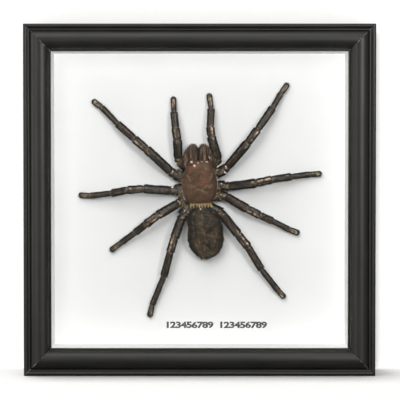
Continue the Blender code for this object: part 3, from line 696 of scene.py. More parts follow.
def hair_tree(coats):
    """Geometry Nodes that plant each coat of hair on a shell and join it to the shell."""
    tree = bpy.data.node_groups.new("planted_hair", "GeometryNodeTree")
    tree.interface.new_socket("Geometry", in_out="INPUT", socket_type="NodeSocketGeometry")
    tree.interface.new_socket("Geometry", in_out="OUTPUT", socket_type="NodeSocketGeometry")
    for number, coat in enumerate(coats):
        for size in ("Per mm2", "Length", "Thickness", "Lean", "Stray", "Curl"):
            socket = tree.interface.new_socket(
                f"{size} {number}", in_out="INPUT", socket_type="NodeSocketFloat")
            socket.default_value = coat[size]
        seed = tree.interface.new_socket(f"Seed {number}", in_out="INPUT", socket_type="NodeSocketInt")
        seed.default_value = coat["Seed"]
    given = add(tree, "NodeGroupInput")
    shell = given.outputs["Geometry"]
    ends = [shell]
    cover = add(tree, "GeometryNodeInputNamedAttribute", {"Name": "cover"}, data_type="FLOAT").outputs[0]
    grow = add(tree, "GeometryNodeInputNamedAttribute", {"Name": "grow"}, data_type="FLOAT_VECTOR").outputs[0]
    for number, coat in enumerate(coats):
        seed = given.outputs[f"Seed {number}"]
        per_square = add(tree, "ShaderNodeMath", {
            0: given.outputs[f"Per mm2 {number}"], 1: 1.0e6,
        }, operation="MULTIPLY")
        density = add(tree, "ShaderNodeMath", {0: per_square.outputs[0], 1: cover}, operation="MULTIPLY")
        planted = add(tree, "GeometryNodeDistributePointsOnFaces", {
            "Mesh": shell, "Density": density.outputs[0], "Seed": seed,
        }, distribute_method="RANDOM")
        out = add(tree, "GeometryNodeStoreNamedAttribute", {
            "Geometry": planted.outputs["Points"], "Name": "out", "Value": planted.outputs["Normal"],
        }, data_type="FLOAT_VECTOR", domain="POINT")
        normal = add(tree, "GeometryNodeInputNamedAttribute", {
            "Name": "out",
        }, data_type="FLOAT_VECTOR").outputs[0]
        stray = add(tree, "FunctionNodeRandomValue", {
            0: (-1.0, -1.0, -1.0), 1: (1.0, 1.0, 1.0), "Seed": seed,
        }, data_type="FLOAT_VECTOR").outputs[0]
        stray = add(tree, "ShaderNodeVectorMath", {
            0: stray, "Scale": given.outputs[f"Stray {number}"],
        }, operation="SCALE")
        leaning = add(tree, "ShaderNodeMix", {
            0: given.outputs[f"Lean {number}"], 4: normal, 5: grow,
        }, data_type="VECTOR")
        way = add(tree, "ShaderNodeVectorMath", {0: leaning.outputs[1], 1: stray.outputs[0]}, operation="ADD")
        turned = add(tree, "FunctionNodeAlignRotationToVector", {"Vector": way.outputs[0]}, axis="Z")
        strand = add(tree, "GeometryNodeMeshCone", {
            "Vertices": 3, "Side Segments": coat["Joints"],
            "Radius Top": 0.0, "Radius Bottom": 0.5, "Depth": 1.0,
        }, fill_type="NONE")
        spot = add(tree, "GeometryNodeInputPosition").outputs[0]
        rise = add(tree, "ShaderNodeSeparateXYZ", {0: spot}).outputs["Z"]
        marked = add(tree, "GeometryNodeStoreNamedAttribute", {
            "Geometry": strand.outputs["Mesh"], "Name": "tip", "Value": rise,
        }, data_type="FLOAT", domain="POINT")
        bow = add(tree, "ShaderNodeMath", {0: rise, 1: rise}, operation="MULTIPLY")
        bow = add(tree, "ShaderNodeMath", {
            0: bow.outputs[0], 1: given.outputs[f"Curl {number}"],
        }, operation="MULTIPLY")
        sideways = add(tree, "ShaderNodeCombineXYZ", {"X": bow.outputs[0]})
        curled = add(tree, "GeometryNodeSetPosition", {
            "Geometry": marked.outputs[0], "Offset": sideways.outputs[0],
        })
        long = add(tree, "FunctionNodeRandomValue", {
            2: 0.55, 3: 1.15, "Seed": 101,
        }, data_type="FLOAT").outputs[1]
        long = add(tree, "ShaderNodeMath", {
            0: long, 1: given.outputs[f"Length {number}"],
        }, operation="MULTIPLY")
        thick = given.outputs[f"Thickness {number}"]
        size = add(tree, "ShaderNodeCombineXYZ", {"X": thick, "Y": thick, "Z": long.outputs[0]})
        hairs = add(tree, "GeometryNodeInstanceOnPoints", {
            "Points": out.outputs[0], "Instance": curled.outputs[0],
            "Rotation": turned.outputs[0], "Scale": size.outputs[0],
        })
        tone = add(tree, "FunctionNodeRandomValue", {
            2: 0.0, 3: 1.0, "Seed": 202,
        }, data_type="FLOAT").outputs[1]
        toned = add(tree, "GeometryNodeStoreNamedAttribute", {
            "Geometry": hairs.outputs[0], "Name": "tone", "Value": tone,
        }, data_type="FLOAT", domain="INSTANCE")
        real = add(tree, "GeometryNodeRealizeInstances", {"Geometry": toned.outputs[0]})
        finished = add(tree, "GeometryNodeSetMaterial", {
            "Geometry": real.outputs[0], "Material": coat["Material"],
        })
        ends.append(finished.outputs[0])
    joined = add(tree, "GeometryNodeJoinGeometry")
    for end in reversed(ends):
        tree.links.new(end, joined.inputs[0])
    result = add(tree, "NodeGroupOutput")
    tree.links.new(joined.outputs[0], result.inputs["Geometry"])
    return tree


def plant_hair(name, shell, coats):
    """Run the hair tree on a shell and keep the result as one plain mesh."""
    grower = shell.modifiers.new("hair", "NODES")
    grower.node_group = hair_tree(coats)
    bpy.context.view_layer.update()
    grown = shell.evaluated_get(bpy.context.evaluated_depsgraph_get())
    mesh = bpy.data.meshes.new_from_object(grown)
    mesh.name = name
    shell.modifiers.remove(grower)
    old = shell.data
    shell.data = mesh
    bpy.data.meshes.remove(old)
    shell.name = name
    return shell


def ring_shell(name, rings, values, material, knobs=()):
    """Skin rings of points into a closed shell, with small closed knobs of joint skin on it."""
    bm = bmesh.new()
    layers = point_layers(bm)
    loops = []
    for ring, marks in zip(rings, values):
        loop = []
        for point, mark in zip(ring, marks):
            vert = bm.verts.new(point)
            for key, value in mark.items():
                vert[layers[key]] = value
            loop.append(vert)
        loops.append(loop)
    count = len(loops[0])
    for near, far in zip(loops, loops[1:]):
        for i in range(count):
            j = (i + 1) % count
            bm.faces.new((near[i], near[j], far[j], far[i]))
    bm.faces.new(loops[0])
    bm.faces.new(loops[-1])
    for place, radius in knobs:
        made = bmesh.ops.create_icosphere(bm, subdivisions=2, radius=radius)
        for vert in made["verts"]:
            lumpy = 1.0 + 0.6 * noise.noise(vert.co * 1900.0 + place * 700.0)
            vert.co = place + vert.co * lumpy
            vert[layers["skin"]] = 1.1 + noise.noise(place * 900.0)
            vert[layers["crest"]] = 1.0
    bmesh.ops.recalc_face_normals(bm, faces=bm.faces)
    for face in bm.faces:
        face.smooth = True
    shell = mesh_piece(name, bm)
    shell.data.materials.append(material)
    return shell


def specimen(x, height, z):
    """A place on the spider in millimetres: across, up from the card, towards the head."""
    return Vector((x * MM, CARD_FACE - height * MM, SPIDER_Z + z * MM))


def smooth(value, start, end):
    """0 before start, 1 after end, and an even slope between."""
    share = min(1.0, max(0.0, (value - start) / (end - start)))
    return share * share * (3 - 2 * share)


# Dry brown-black horn, a little glossy, with tan bald stripes and cream skin at the joints.
# The top colour, laid on towards the crest, is a painted highlight.
limb_cuticle = shell_material("limb_cuticle", "#050302", "#3c322a", "#aca08c", "#ab9a85", 0.5 * MM)
# Short hair that lies along the limb, brown-black, with a grey-brown painted highlight on top.
limb_hair = hair_material("limb_hair", "#030202", "#060404", "#0b0806", "#63564a", 1.0)
# Long stiff bristles with rusty tips.
limb_bristle = hair_material("limb_bristle", "#0b0806", "#201713", "#564437", "#6d5c4f", 0.5)


# Legs and palps ----------------------------------------------------------------------------------
# Each limb is a chain of horn tubes joined by soft skin: coxa, trochanter, femur, patella, tibia,
# metatarsus and tarsus, and on a palp no metatarsus. They dried in a low arch with the tips down.

SEGMENTS = ("coxa", "trochanter", "femur", "patella", "tibia", "metatarsus", "tarsus")
HALF_WIDTH = {
    "coxa": 2.65,
    "trochanter": 2.15,
    "femur": 2.08,
    "patella": 1.92,
    "tibia": 1.72,
    "metatarsus": 1.34,
    "tarsus": 1.3,
}
# How far a segment's middle stands above the line between its ends
SEGMENT_ARCH = {"femur": 0.55, "patella": 0.35, "metatarsus": 0.2}
LEG_HEIGHTS = (3.4, 3.6, 4.2, 8.0, 7.7, 4.9, 2.3, 1.7)
PALP_HEIGHTS = (3.3, 3.6, 4.0, 6.6, 6.3, 3.9, 1.8)
# Where each coxa starts, then the length and heading of every segment, headings in degrees
# clockwise from straight ahead
LEGS = {
    "leg_1_left": (
        (-5.6, 1.9),
        (6.7, -70), (2.4, -59), (15.9, -47), (7.7, -50), (11.3, -48), (11.1, -44), (5.7, -54),
    ),
    "leg_2_left": (
        (-5.6, -2.4),
        (6.3, -101), (2.2, -95), (13.1, -86), (7.6, -94), (8.4, -101), (10.6, -97), (5.4, -87),
    ),
    "leg_3_left": (
        (-5.2, -6.8),
        (4.6, -122), (1.7, -120), (11.2, -120), (7.3, -127), (6.6, -128), (8.6, -126), (6.7, -127),
    ),
    "leg_4_left": (
        (-4.5, -10.9),
        (6.3, -145), (2.1, -153), (9.2, -160), (7.1, -164), (12.6, -165), (15.4, -158), (5.8, -167),
    ),
    "leg_1_right": (
        (5.6, 3.1),
        (6.9, 61), (2.3, 54), (15.0, 40), (8.2, 37), (13.1, 35), (8.0, 30), (6.0, 36),
    ),
    "leg_2_right": (
        (5.6, -1.4),
        (6.6, 93), (2.2, 89), (12.9, 83), (7.8, 77), (9.8, 82), (9.3, 83), (5.7, 87),
    ),
    "leg_3_right": (
        (5.4, -6.0),
        (5.6, 92), (2.0, 104), (11.7, 120), (6.6, 117), (7.2, 115), (9.0, 117), (5.5, 112),
    ),
    "leg_4_right": (
        (3.6, -11.2),
        (7.6, 118), (2.2, 133), (10.7, 142), (8.0, 142), (13.1, 149), (13.4, 142), (4.6, 137),
    ),
}
PALPS = {
    "palp_left": (
        (-5.3, 6.8),
        (5.6, -47), (1.8, -39), (8.8, -1), (5.7, -10), (7.9, -6), (7.5, -2),
    ),
    "palp_right": (
        (5.3, 6.8),
        (4.4, 40), (1.6, 32), (11.4, -17), (4.7, -6), (8.9, 3), (7.5, -8),
    ),
}
FEMUR_BENDS = {"leg_1_left": 18, "palp_right": -30}
LIMB_SIDES = 28
RING_SPACING = 0.4
# Bald marks on top of a segment: angle from the crest, half width in degrees, start, end, strength
BALD_MARKS = {
    "patella": ((-24, 15, 0.1, 0.5, 1.2), (-16, 14, 0.55, 0.92, 1.3), (30, 12, 0.15, 0.8, 0.5)),
    "tibia": ((-24, 9, 0.08, 0.85, 0.35), (16, 9, 0.1, 0.9, 0.35)),
    "metatarsus": ((0, 12, 0.1, 0.9, 0.35), (-18, 14, 0.82, 1.0, 0.8)),
    "tarsus": ((22, 16, 0.2, 0.8, 0.9), (-22, 16, 0.2, 0.8, 0.9), (0, 26, 0.62, 0.82, 0.7)),
    "femur": ((-18, 14, 0.86, 0.97, 0.9), (20, 10, 0.1, 0.9, 0.25)),
    "coxa": ((30, 18, 0.05, 0.85, 0.4), (-22, 16, 0.15, 0.95, 0.32), (62, 14, 0.3, 1.0, 0.32)),
    "trochanter": ((5, 26, 0.1, 0.9, 0.36),),
}
# Cream knobs of skin at the joints: segment, share along it, offset across, radius, in millimetres
JOINT_KNOBS = (
    ("coxa", 0.35, -1.2, 0.3),
    ("coxa", 0.6, 1.1, 0.3),
    ("coxa", 0.97, 0.4, 0.38),
    ("trochanter", 0.9, -0.25, 0.34),
    ("femur", 0.985, -0.6, 0.22),
)


def limb_stations(name, start, segments, heights, kinds):
    """Centres, half widths, segment names and shares along a limb, body end first."""
    x, z = start
    near = Vector((x, heights[0], z))
    stations = []
    for number, ((length, heading), kind) in enumerate(zip(segments, kinds)):
        bend = FEMUR_BENDS.get(name, 0.0) if kind == "femur" else 0.0
        first = math.radians(heading - bend / 2)
        second = math.radians(heading + bend / 2)
        half_step = Vector((math.sin(first), 0.0, math.cos(first))) * (length / 2)
        whole = half_step + Vector((math.sin(second), 0.0, math.cos(second))) * (length / 2)
        far = near + whole + Vector((0.0, heights[number + 1] - heights[number], 0.0))
        bow = half_step - whole / 2
        steps = max(5, round(length / RING_SPACING))
        last = number == len(kinds) - 1
        for step in range(steps + (1 if last else 0)):
            share = step / steps
            swell = 4 * share * (1 - share)
            centre = near.lerp(far, share) + bow * swell
            centre.y += SEGMENT_ARCH.get(kind, 0.0) * swell
            from_end = min(share * length, (1 - share) * length)
            neck = min(1.0, from_end / 0.8) ** 0.5
            half = HALF_WIDTH[kind] * (0.74 + 0.26 * neck) * (0.97 + 0.05 * smooth(share, 0.5, 0.9))
            if last:
                half *= 1.0 - 0.62 * max(0.0, share - 0.8) ** 2 / 0.04
            skin = max(0.0, 1.0 - from_end / 0.5) if 0 < number and not (last and share > 0.5) else 0.0
            if kind in ("coxa", "trochanter"):
                skin *= 1.4
            stations.append((centre, half, kind, share, 0.75 * skin))
        near = far
    return stations


def limb_shell(name, start, segments, heights, kinds):
    """A limb's rings: flat-topped tubes, drawn in at the joints and furrowed lengthwise in drying."""
    stations = limb_stations(name, start, segments, heights, kinds)
    centres = [specimen(*station[0]) for station in stations]
    rings = []
    values = []
    knobs = []
    seed = sum(ord(letter) * (place + 3) for place, letter in enumerate(name)) % 97
    flip = 1 if seed % 2 else -1
    for index, (centre, half, kind, share, skin) in enumerate(stations):
        before = centres[max(0, index - 2)]
        after = centres[min(len(centres) - 1, index + 2)]
        along = (after - before).normalized()
        side = along.cross(Vector((0.0, -1.0, 0.0))).normalized()
        up = side.cross(along)
        if up.y > 0:
            up = -up
        ring = []
        marks = []
        for i in range(LIMB_SIDES):
            turn = 2 * math.pi * i / LIMB_SIDES
            across = math.copysign(abs(math.sin(turn)) ** 0.82, math.sin(turn))
            rise = math.copysign(abs(math.cos(turn)) ** 0.82, math.cos(turn))
            fore, beside = math.cos(turn), math.sin(turn)
            long_furrow = noise.noise(Vector((fore * 2.6, beside * 2.6, index * 0.07 + seed)))
            pucker = noise.noise(Vector((fore * 1.2, beside * 1.2, index * 0.42 - seed)))
            size = half * MM * (1.0 + 0.085 * long_furrow + 0.1 * pucker)
            ring.append(centres[index] + side * (size * across) + up * (size * 0.92 * rise))
            degrees = flip * ((math.degrees(turn) + 180) % 360 - 180)
            bare = 0.0
            for middle, width, start_share, end_share, strength in BALD_MARKS.get(kind, ()):
                band = min(1.0, 2.2 * max(0.0, 1.0 - abs(degrees - middle) / width))
                run = smooth(share, start_share - 0.06, start_share + 0.06)
                run *= 1.0 - smooth(share, end_share - 0.06, end_share + 0.06)
                bare = max(bare, strength * band * run * max(0.0, 0.75 + 1.6 * pucker))
            # Painted highlight: the crest lightens the upper side and leaves the sides near black, broken
            # into streaks and flecks of random tone. Joint skin shows mostly on the upper side, part of the
            # same highlight.
            top = (1.0 - smooth(abs(across), 0.38, 0.82)) * (1.0 if math.cos(turn) > 0 else 0.0)
            streak = noise.noise(Vector((fore * 4.5, beside * 4.5, index * 0.11 + 3 * seed)))
            fleck = noise.noise(Vector((fore * 3.0, beside * 3.0, index * 0.5 + 5 * seed)))
            crest = top * min(1.9, max(0.05, 0.72 + 1.5 * streak + 1.3 * fleck))
            crest *= 0.75 if kind == "coxa" else 1.0
            covered = (1.0 - min(1.0, bare)) * (1.0 - min(1.0, 0.92 * skin))
            marks.append({
                "grow": along, "cover": covered, "crest": crest, "bare": bare,
                "skin": skin * (0.3 + 0.7 * top),
            })
        rings.append(ring)
        values.append(marks)
        for knob_kind, knob_share, offset, radius in JOINT_KNOBS:
            following = stations[index + 1] if index + 1 < len(stations) else None
            reached = following is None or following[2] != kind or following[3] >= knob_share
            if knob_kind == kind and share < knob_share and reached:
                chance = noise.noise(Vector((seed * 1.7, knob_share * 9.0, radius * 11.0)))
                radius *= 1.0 + 0.9 * chance
                offset += 0.9 * chance
                place = centres[index] + side * (flip * offset * MM) + up * ((half - 0.45 * radius) * MM)
                if radius > 0.2:
                    knobs.append((place, radius * MM))
    return ring_shell(name, rings, values, limb_cuticle, knobs)


LIMB_COATS = (
    {
        "Per mm2": 20.0, "Length": 0.75 * MM, "Thickness": 0.11 * MM, "Lean": 0.84, "Stray": 0.2,
        "Curl": 0.0, "Seed": 3, "Joints": 1, "Material": limb_hair,
    },
    {
        "Per mm2": 1.1, "Length": 1.4 * MM, "Thickness": 0.1 * MM, "Lean": 0.66, "Stray": 0.3,
        "Curl": 0.9, "Seed": 5, "Joints": 2, "Material": limb_bristle,
    },
)
palp_kinds = tuple(kind for kind in SEGMENTS if kind != "metatarsus")
for limbs, heights, kinds in ((LEGS, LEG_HEIGHTS, SEGMENTS), (PALPS, PALP_HEIGHTS, palp_kinds)):
    for name, (start, *segments) in limbs.items():
        shell = limb_shell("hairy_" + name, start, segments, heights, kinds)
        limb = plant_hair("hairy_" + name, shell, LIMB_COATS)
        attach(limb, "root")
        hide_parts(name)


# Cephalothorax -----------------------------------------------------------------------------------
# The front half of the body: a broad shield with a raised head, a pit in its middle and faint rays,
# over the narrower breastplate. Its velvet is rusty brown, and a golden fringe edges its rear.

CARAPACE = (
    (-10.3, 4.0, 6.6),
    (-9.5, 5.4, 7.3),
    (-7.0, 7.2, 8.1),
    (-3.5, 8.1, 8.7),
    (0.0, 8.4, 9.0),
    (3.2, 8.0, 9.4),
    (6.0, 6.9, 9.8),
    (8.0, 6.1, 9.8),
    (9.5, 5.5, 9.3),
    (10.3, 4.6, 8.7),
    (10.8, 3.2, 7.6),
)
RIM_HEIGHT = 6.4
STERNUM_HEIGHT = 2.3
BODY_SIDES = 72
CARAPACE_RINGS = 64
PIT_Z = -2.6


def between(stations, share):
    """Smoothly interpolate a list of stations at a share of the way along their first column."""
    table = np.array(stations, float)
    spot = table[0, 0] + (table[-1, 0] - table[0, 0]) * share
    order = np.argsort(table[:, 0])
    table = table[order]
    k = int(np.clip(np.searchsorted(table[:, 0], spot) - 1, 0, len(table) - 2))
    run = table[k + 1, 0] - table[k, 0]
    t = (spot - table[k, 0]) / run
    slopes = np.gradient(table[:, 1:], table[:, 0], axis=0)
    h00, h10 = 2 * t**3 - 3 * t**2 + 1, t**3 - 2 * t**2 + t
    h01, h11 = -2 * t**3 + 3 * t**2, t**3 - t**2
    row = h00 * table[k, 1:] + h10 * run * slopes[k] + h01 * table[k + 1, 1:] + h11 * run * slopes[k + 1]
    return (spot, *row)


rings = []
values = []
for number in range(CARAPACE_RINGS + 1):
    z, half, top = between(CARAPACE, number / CARAPACE_RINGS)
    ring = []
    marks = []
    for i in range(BODY_SIDES):
        turn = 2 * math.pi * (i + 0.5) / BODY_SIDES
        across = math.sin(turn)
        upward = math.cos(turn)
        if upward >= 0:
            x = half * math.copysign(abs(across) ** 0.85, across)
            height = RIM_HEIGHT + (top - RIM_HEIGHT) * upward ** 0.75
        else:
            tuck = 1.0 - 0.47 * smooth(-upward, 0.0, 0.22)
            x = half * tuck * math.copysign(abs(across) ** 0.7, across)
            height = RIM_HEIGHT - 0.7 + (STERNUM_HEIGHT - RIM_HEIGHT + 0.7) * smooth(-upward, 0.12, 0.9)
        out = math.hypot(x / half, (z - PIT_Z) / 9.0)
        ray = math.atan2(x, z - PIT_Z)
        if upward > 0:
            pit = math.exp(-((z - PIT_Z) ** 2 / 0.5 + x * x / 2.2))
            rays = 0.16 * math.cos(8 * ray) * smooth(out, 0.15, 0.45) * (1 - smooth(out, 0.8, 1.0))
            head_groove = math.exp(-((abs(x) - (1.6 + 0.55 * (z - PIT_Z))) ** 2) / 0.6)
            head_groove *= smooth(z, PIT_Z, PIT_Z + 2.0) * (1 - smooth(z, 5.5, 8.0))
            mound = 0.85 * math.exp(-((z - 9.1) ** 2 / 0.7 + (x + 0.2) ** 2 / 1.6))
            dent = 0.9 * math.exp(-((x + 3.7) ** 2 / 0.9 + (z - 9.0) ** 2 / 0.2))
            height += (mound - dent - 0.9 * pit + rays - 0.45 * head_groove) * smooth(upward, 0.1, 0.45)
            height += 0.12 * noise.noise(Vector((x * 0.9, z * 0.9, 2.0)))
        point = specimen(x, height, z)
        # Two near-white hairless spots beside the eyes are painted glints.
        glint_spot = max(
            math.exp(-((x + 3.9) ** 2 + (z - 10.1) ** 2) / 0.3),
            math.exp(-((x + 2.5) ** 2 + (z - 8.2) ** 2) / 0.26),
        ) if upward > 0 else 0.0
        # The dent between the glints stays dark: painted shade.
        dent_shade = math.exp(-((x + 3.7) ** 2 / 0.9 + (z - 9.0) ** 2 / 0.2)) if upward > 0 else 0.0
        backward = Vector((x * 0.06, -0.15, -1.0)) if z > 2 else Vector((x * 0.14, -0.1, -1.0))
        rim = smooth(abs(across), 0.93, 0.99) if upward > -0.1 else 0.0
        # Painted shade: darker towards the right and the rear. A darker line runs down the middle and noise
        # varies the tone. The crest this scales is a painted highlight on the upper side.
        shade = 1.0 - 0.45 * smooth(x, 2.5, 7.0) - 0.4 * smooth(-z, 4.0, 9.0)
        shade -= 0.5 * math.exp(-((x + 0.2) / 0.4) ** 2) * smooth(z, -9.0, -6.0) * (1 - smooth(z, 5.0, 7.0))
        shade += 0.35 * noise.noise(Vector((x * 1.3, z * 1.3, 5.0)))
        marks.append({
            "grow": backward.normalized(),
            "cover": (1.0 - 0.95 * min(1.0, glint_spot * 1.6)) * (1.0 if upward > -0.2 else 0.35),
            "crest": max(0.0, upward) ** 0.8 * shade * (1.0 - dent_shade),
            "bare": min(1.0, glint_spot * 1.8),
            "skin": 0.5 * rim,
        })
        ring.append(point)
    rings.append(ring)
    values.append(marks)

# Rust-brown horn showing through thin velvet, with painted shade to the right rear and painted highlight on
# top.
# Its near-white bare colour is used only by the painted glints beside the eyes.
shield_cuticle = shell_material("shield_cuticle", "#2e211a", "#775944", "#f0d8cc", "#b39c88", 0.7 * MM)
shield_velvet = hair_material("shield_velvet", "#2e221b", "#523f33", "#705947", "#a08069", 1.0)
golden_fringe = hair_material("golden_fringe", "#2b2114", "#86714a", "#bfa777", "#a08a5e", 0.6)
rim_hair = hair_material("rim_hair", "#5a4a40", "#8c7a6b", "#b5a595", "#a09080", 0.6)


def wash_over(material, patch, tints):
    """Multiply soft patches of the given tints over a body wall or its hair."""
    tree = material.node_tree
    base = tree.nodes["Principled BSDF"].inputs["Base Color"]
    under = base.links[0].from_socket
    place = add(tree, "ShaderNodeTexCoord").outputs["Object"]
    cloud = add(tree, "ShaderNodeTexNoise", {
        "Vector": place, "Scale": 1.0 / patch, "Detail": 3.0, "Roughness": 0.6,
    })
    tint = add(tree, "ShaderNodeValToRGB", {"Fac": cloud.outputs["Fac"]})
    ramp = tint.color_ramp.elements
    ramp[0].position, ramp[1].position = 0.38, 0.62
    ramp[0].color, ramp[1].color = linear(tints[0]), linear(tints[2])
    middle = ramp.new(0.5)
    middle.color = linear(tints[1])
    washed = add(tree, "ShaderNodeMix", {
        0: 1.0, 6: under, 7: tint.outputs["Color"],
    }, data_type="RGBA", blend_type="MULTIPLY")
    tree.links.new(washed.outputs[2], base)


for material in (shield_cuticle, shield_velvet):
    wash_over(material, 4.6 * MM, ("#b3b391", "#d6c6bb", "#f7d9bd"))
for material in (limb_cuticle, limb_hair):
    wash_over(material, 2.0 * MM, ("#b6b19c", "#e0d4c4", "#ffe5d6"))

SHIELD_COATS = (
    {
        "Per mm2": 42.0, "Length": 0.5 * MM, "Thickness": 0.12 * MM, "Lean": 0.72, "Stray": 0.3,
        "Curl": 0.0, "Seed": 11, "Joints": 1, "Material": shield_velvet,
    },
    {
        "Per mm2": 0.9, "Length": 1.0 * MM, "Thickness": 0.09 * MM, "Lean": 0.5, "Stray": 0.35,
        "Curl": 0.6, "Seed": 12, "Joints": 2, "Material": limb_bristle,
    },
)
shield = ring_shell("hairy_cephalothorax", rings, values, shield_cuticle)
shield = plant_hair("hairy_cephalothorax", shield, SHIELD_COATS)
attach(shield, "root")
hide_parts("cephalothorax")


def hair_lock(bm, root, tip, thickness, droop, tone, crest):
    """One three-sided tapering hair from root to tip, bowed by droop, with its tone and crest."""
    along = (tip - root).normalized()
    side = along.orthogonal().normalized()
    other = along.cross(side)
    rings = []
    for share, size in ((0.0, 1.0), (0.5, 0.75)):
        centre = root.lerp(tip, share) + droop * (4 * share * (1 - share))
        ring = []
        for i in range(3):
            turn = 2 * math.pi * i / 3
            outward = side * math.cos(turn) + other * math.sin(turn)
            ring.append(bm.verts.new(centre + outward * thickness * size / 2))
        rings.append(ring)
    end = bm.verts.new(tip)
    floats = bm.verts.layers.float
    for points, share in ((rings[0], 0.0), (rings[1], 0.5), ([end], 1.0)):
        for vert in points:
            vert[floats["tip"]] = share
            vert[floats["tone"]] = tone
            vert[floats["crest"]] = crest
    for i in range(3):
        j = (i + 1) % 3
        bm.faces.new((rings[0][i], rings[0][j], rings[1][j], rings[1][i]))
        bm.faces.new((rings[1][i], rings[1][j], end))
    bm.faces.new(tuple(reversed(rings[0])))


def lock_layers():
    """A bmesh whose vertices carry the tone, tip and crest of a hair."""
    bm = bmesh.new()
    for key in ("tone", "tip", "crest"):
        bm.verts.layers.float.new(key)
    return bm


# The golden fringe: soft hair that overhangs the waist in tufts from the shield's rear edge.
FRINGE_TUFTS = (-4.1, -2.9, -1.4, -0.1, 1.3, 2.7, 4.1, 5.4)
FRINGE_HAIRS = 600
RIM_TRIES = 1500
rng = np.random.default_rng(7)
bm = lock_layers()
for _ in range(FRINGE_HAIRS):
    tuft = FRINGE_TUFTS[rng.integers(len(FRINGE_TUFTS))]
    x = tuft + rng.normal(0, 0.38)
    spread = (x - 0.6) / 5.4
    edge_z = -9.9 + 0.25 * abs(spread) ** 2
    height = 6.9 + rng.uniform(-0.4, 0.4) - 0.5 * abs(spread)
    root = specimen(x * 0.95, height, edge_z + rng.uniform(0.0, 0.9))
    length = rng.uniform(1.2, 2.5)
    height = 6.6 + rng.normal(0, 0.5) - 0.6 * abs(spread)
    tip = specimen(tuft + (x - tuft) * 0.2 + spread * 0.4, height, edge_z - length)
    hair_lock(bm, root, tip, 0.17 * MM, Vector((0.0, -0.25 * MM, 0.0)), rng.uniform(0.1, 1.0), 0.8)
fringe = mesh_piece("rear_fringe", bm)
fringe.data.materials.append(golden_fringe)
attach(fringe, "root")

# Pale hairs that edge the shield above the coxae.
bm = lock_layers()
for _ in range(RIM_TRIES):
    share = rng.uniform(0.12, 0.9)
    z, half, top = between(CARAPACE, share)
    side = -1 if rng.random() < 0.5 else 1
    thin = 1.0 if (side < 0 and z < -1.5) or (side > 0 and abs(z - 1.5) < 3.5) else 0.45
    if rng.random() > thin:
        continue
    root = specimen(side * (half - 0.15), RIM_HEIGHT + rng.uniform(-0.3, 0.25), z)
    reach = rng.uniform(0.5, 1.0)
    height = RIM_HEIGHT + rng.uniform(-0.5, 0.4)
    tip = specimen(side * (half + reach * 0.6), height, z - reach * rng.uniform(0.5, 1.1))
    hair_lock(bm, root, tip, 0.11 * MM, Vector(), rng.uniform(0.1, 1.0), 0.5)
rim = mesh_piece("shield_rim_hair", bm)
rim.data.materials.append(rim_hair)
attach(rim, "root")

# Straw-coloured tufts that dried between the roots of the limbs: middle (x, z), spread, hairs.
ROOT_TUFTS = (
    (-9.9, 9.3, 1.0, 70),
    (-8.9, 1.4, 0.7, 40),
    (-9.6, -5.6, 1.0, 50),
    (-7.6, -10.9, 1.2, 70),
    (9.3, -1.6, 1.1, 80),
    (9.9, -6.6, 1.5, 120),
    (8.4, 5.6, 0.7, 40),
)
bm = lock_layers()
for x, z, spread, hairs in ROOT_TUFTS:
    for _ in range(hairs):
        aside = rng.normal(0, spread * 0.6)
        root = specimen(x + aside, rng.uniform(4.9, 6.0), z + rng.normal(0, spread * 0.6))
        tip = root + Vector((rng.normal(0, 0.5), rng.uniform(-0.5, 0.1), rng.normal(-0.2, 0.6))) * (1.1 * MM)
        hair_lock(bm, root, tip, 0.13 * MM, Vector(), rng.uniform(0.0, 1.0), 0.5)
straw_hair = hair_material("straw_tuft_hair", "#3a2f22", "#7d6c4c", "#a8966f", "#a08f6c", 0.6)
tufts = mesh_piece("leg_root_tufts", bm)
tufts.data.materials.append(straw_hair)
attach(tufts, "root")


# Eyes --------------------------------------------------------------------------------------------
# Eight glossy lenses set close together on the low mound at the front of the shield.

EYES = (
    (0.42, 10.1, 0.26), (1.05, 9.75, 0.2), (0.75, 9.35, 0.17), (1.2, 9.2, 0.17),
)
MOUND_X = -0.2
wet_lens, tree, shader = new_finish("glossy_eye_lens")
place = add(tree, "ShaderNodeTexCoord").outputs["Object"]
cloud = add(tree, "ShaderNodeTexNoise", {"Vector": place, "Scale": 3000.0, "Detail": 1.0})
two_shades(tree, cloud.outputs["Fac"], "#15110f", "#4c4741")
shader.inputs["Roughness"].default_value = 0.08
bm = bmesh.new()
for side in (-1, 1):
    for x, z, radius in EYES:
        made = bmesh.ops.create_uvsphere(bm, u_segments=14, v_segments=10, radius=radius * MM)
        height = 9.95 - 0.28 * x * x - 0.25 * abs(z - 9.4)
        for vert in made["verts"]:
            vert.co += specimen(MOUND_X + side * x, height, z)
for face in bm.faces:
    face.smooth = True
eyes = mesh_piece("eyes", bm)
eyes.data.materials.append(wet_lens)
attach(eyes, "root")


# Abdomen -----------------------------------------------------------------------------------------
# The soft rear half, shrunken and creased in drying, with a narrow waist in front and two spinnerets
# behind. Its coat is longer and patchier than the shield's, dark olive-brown.

ABDOMEN = (
    (0.0, 0.9, 0.8, 4.6, 6.0),
    (0.05, 0.9, 1.6, 4.2, 6.2),
    (0.11, 0.9, 4.6, 3.2, 7.2),
    (0.21, 1.8, 7.0, 2.5, 9.6),
    (0.37, 2.6, 7.9, 2.1, 11.6),
    (0.53, 2.9, 8.2, 2.0, 11.9),
    (0.68, 3.1, 8.1, 2.1, 11.4),
    (0.81, 3.0, 7.0, 2.6, 10.2),
    (0.92, 3.2, 5.0, 3.4, 8.4),
    (1.0, 3.0, 2.0, 4.4, 6.6),
)
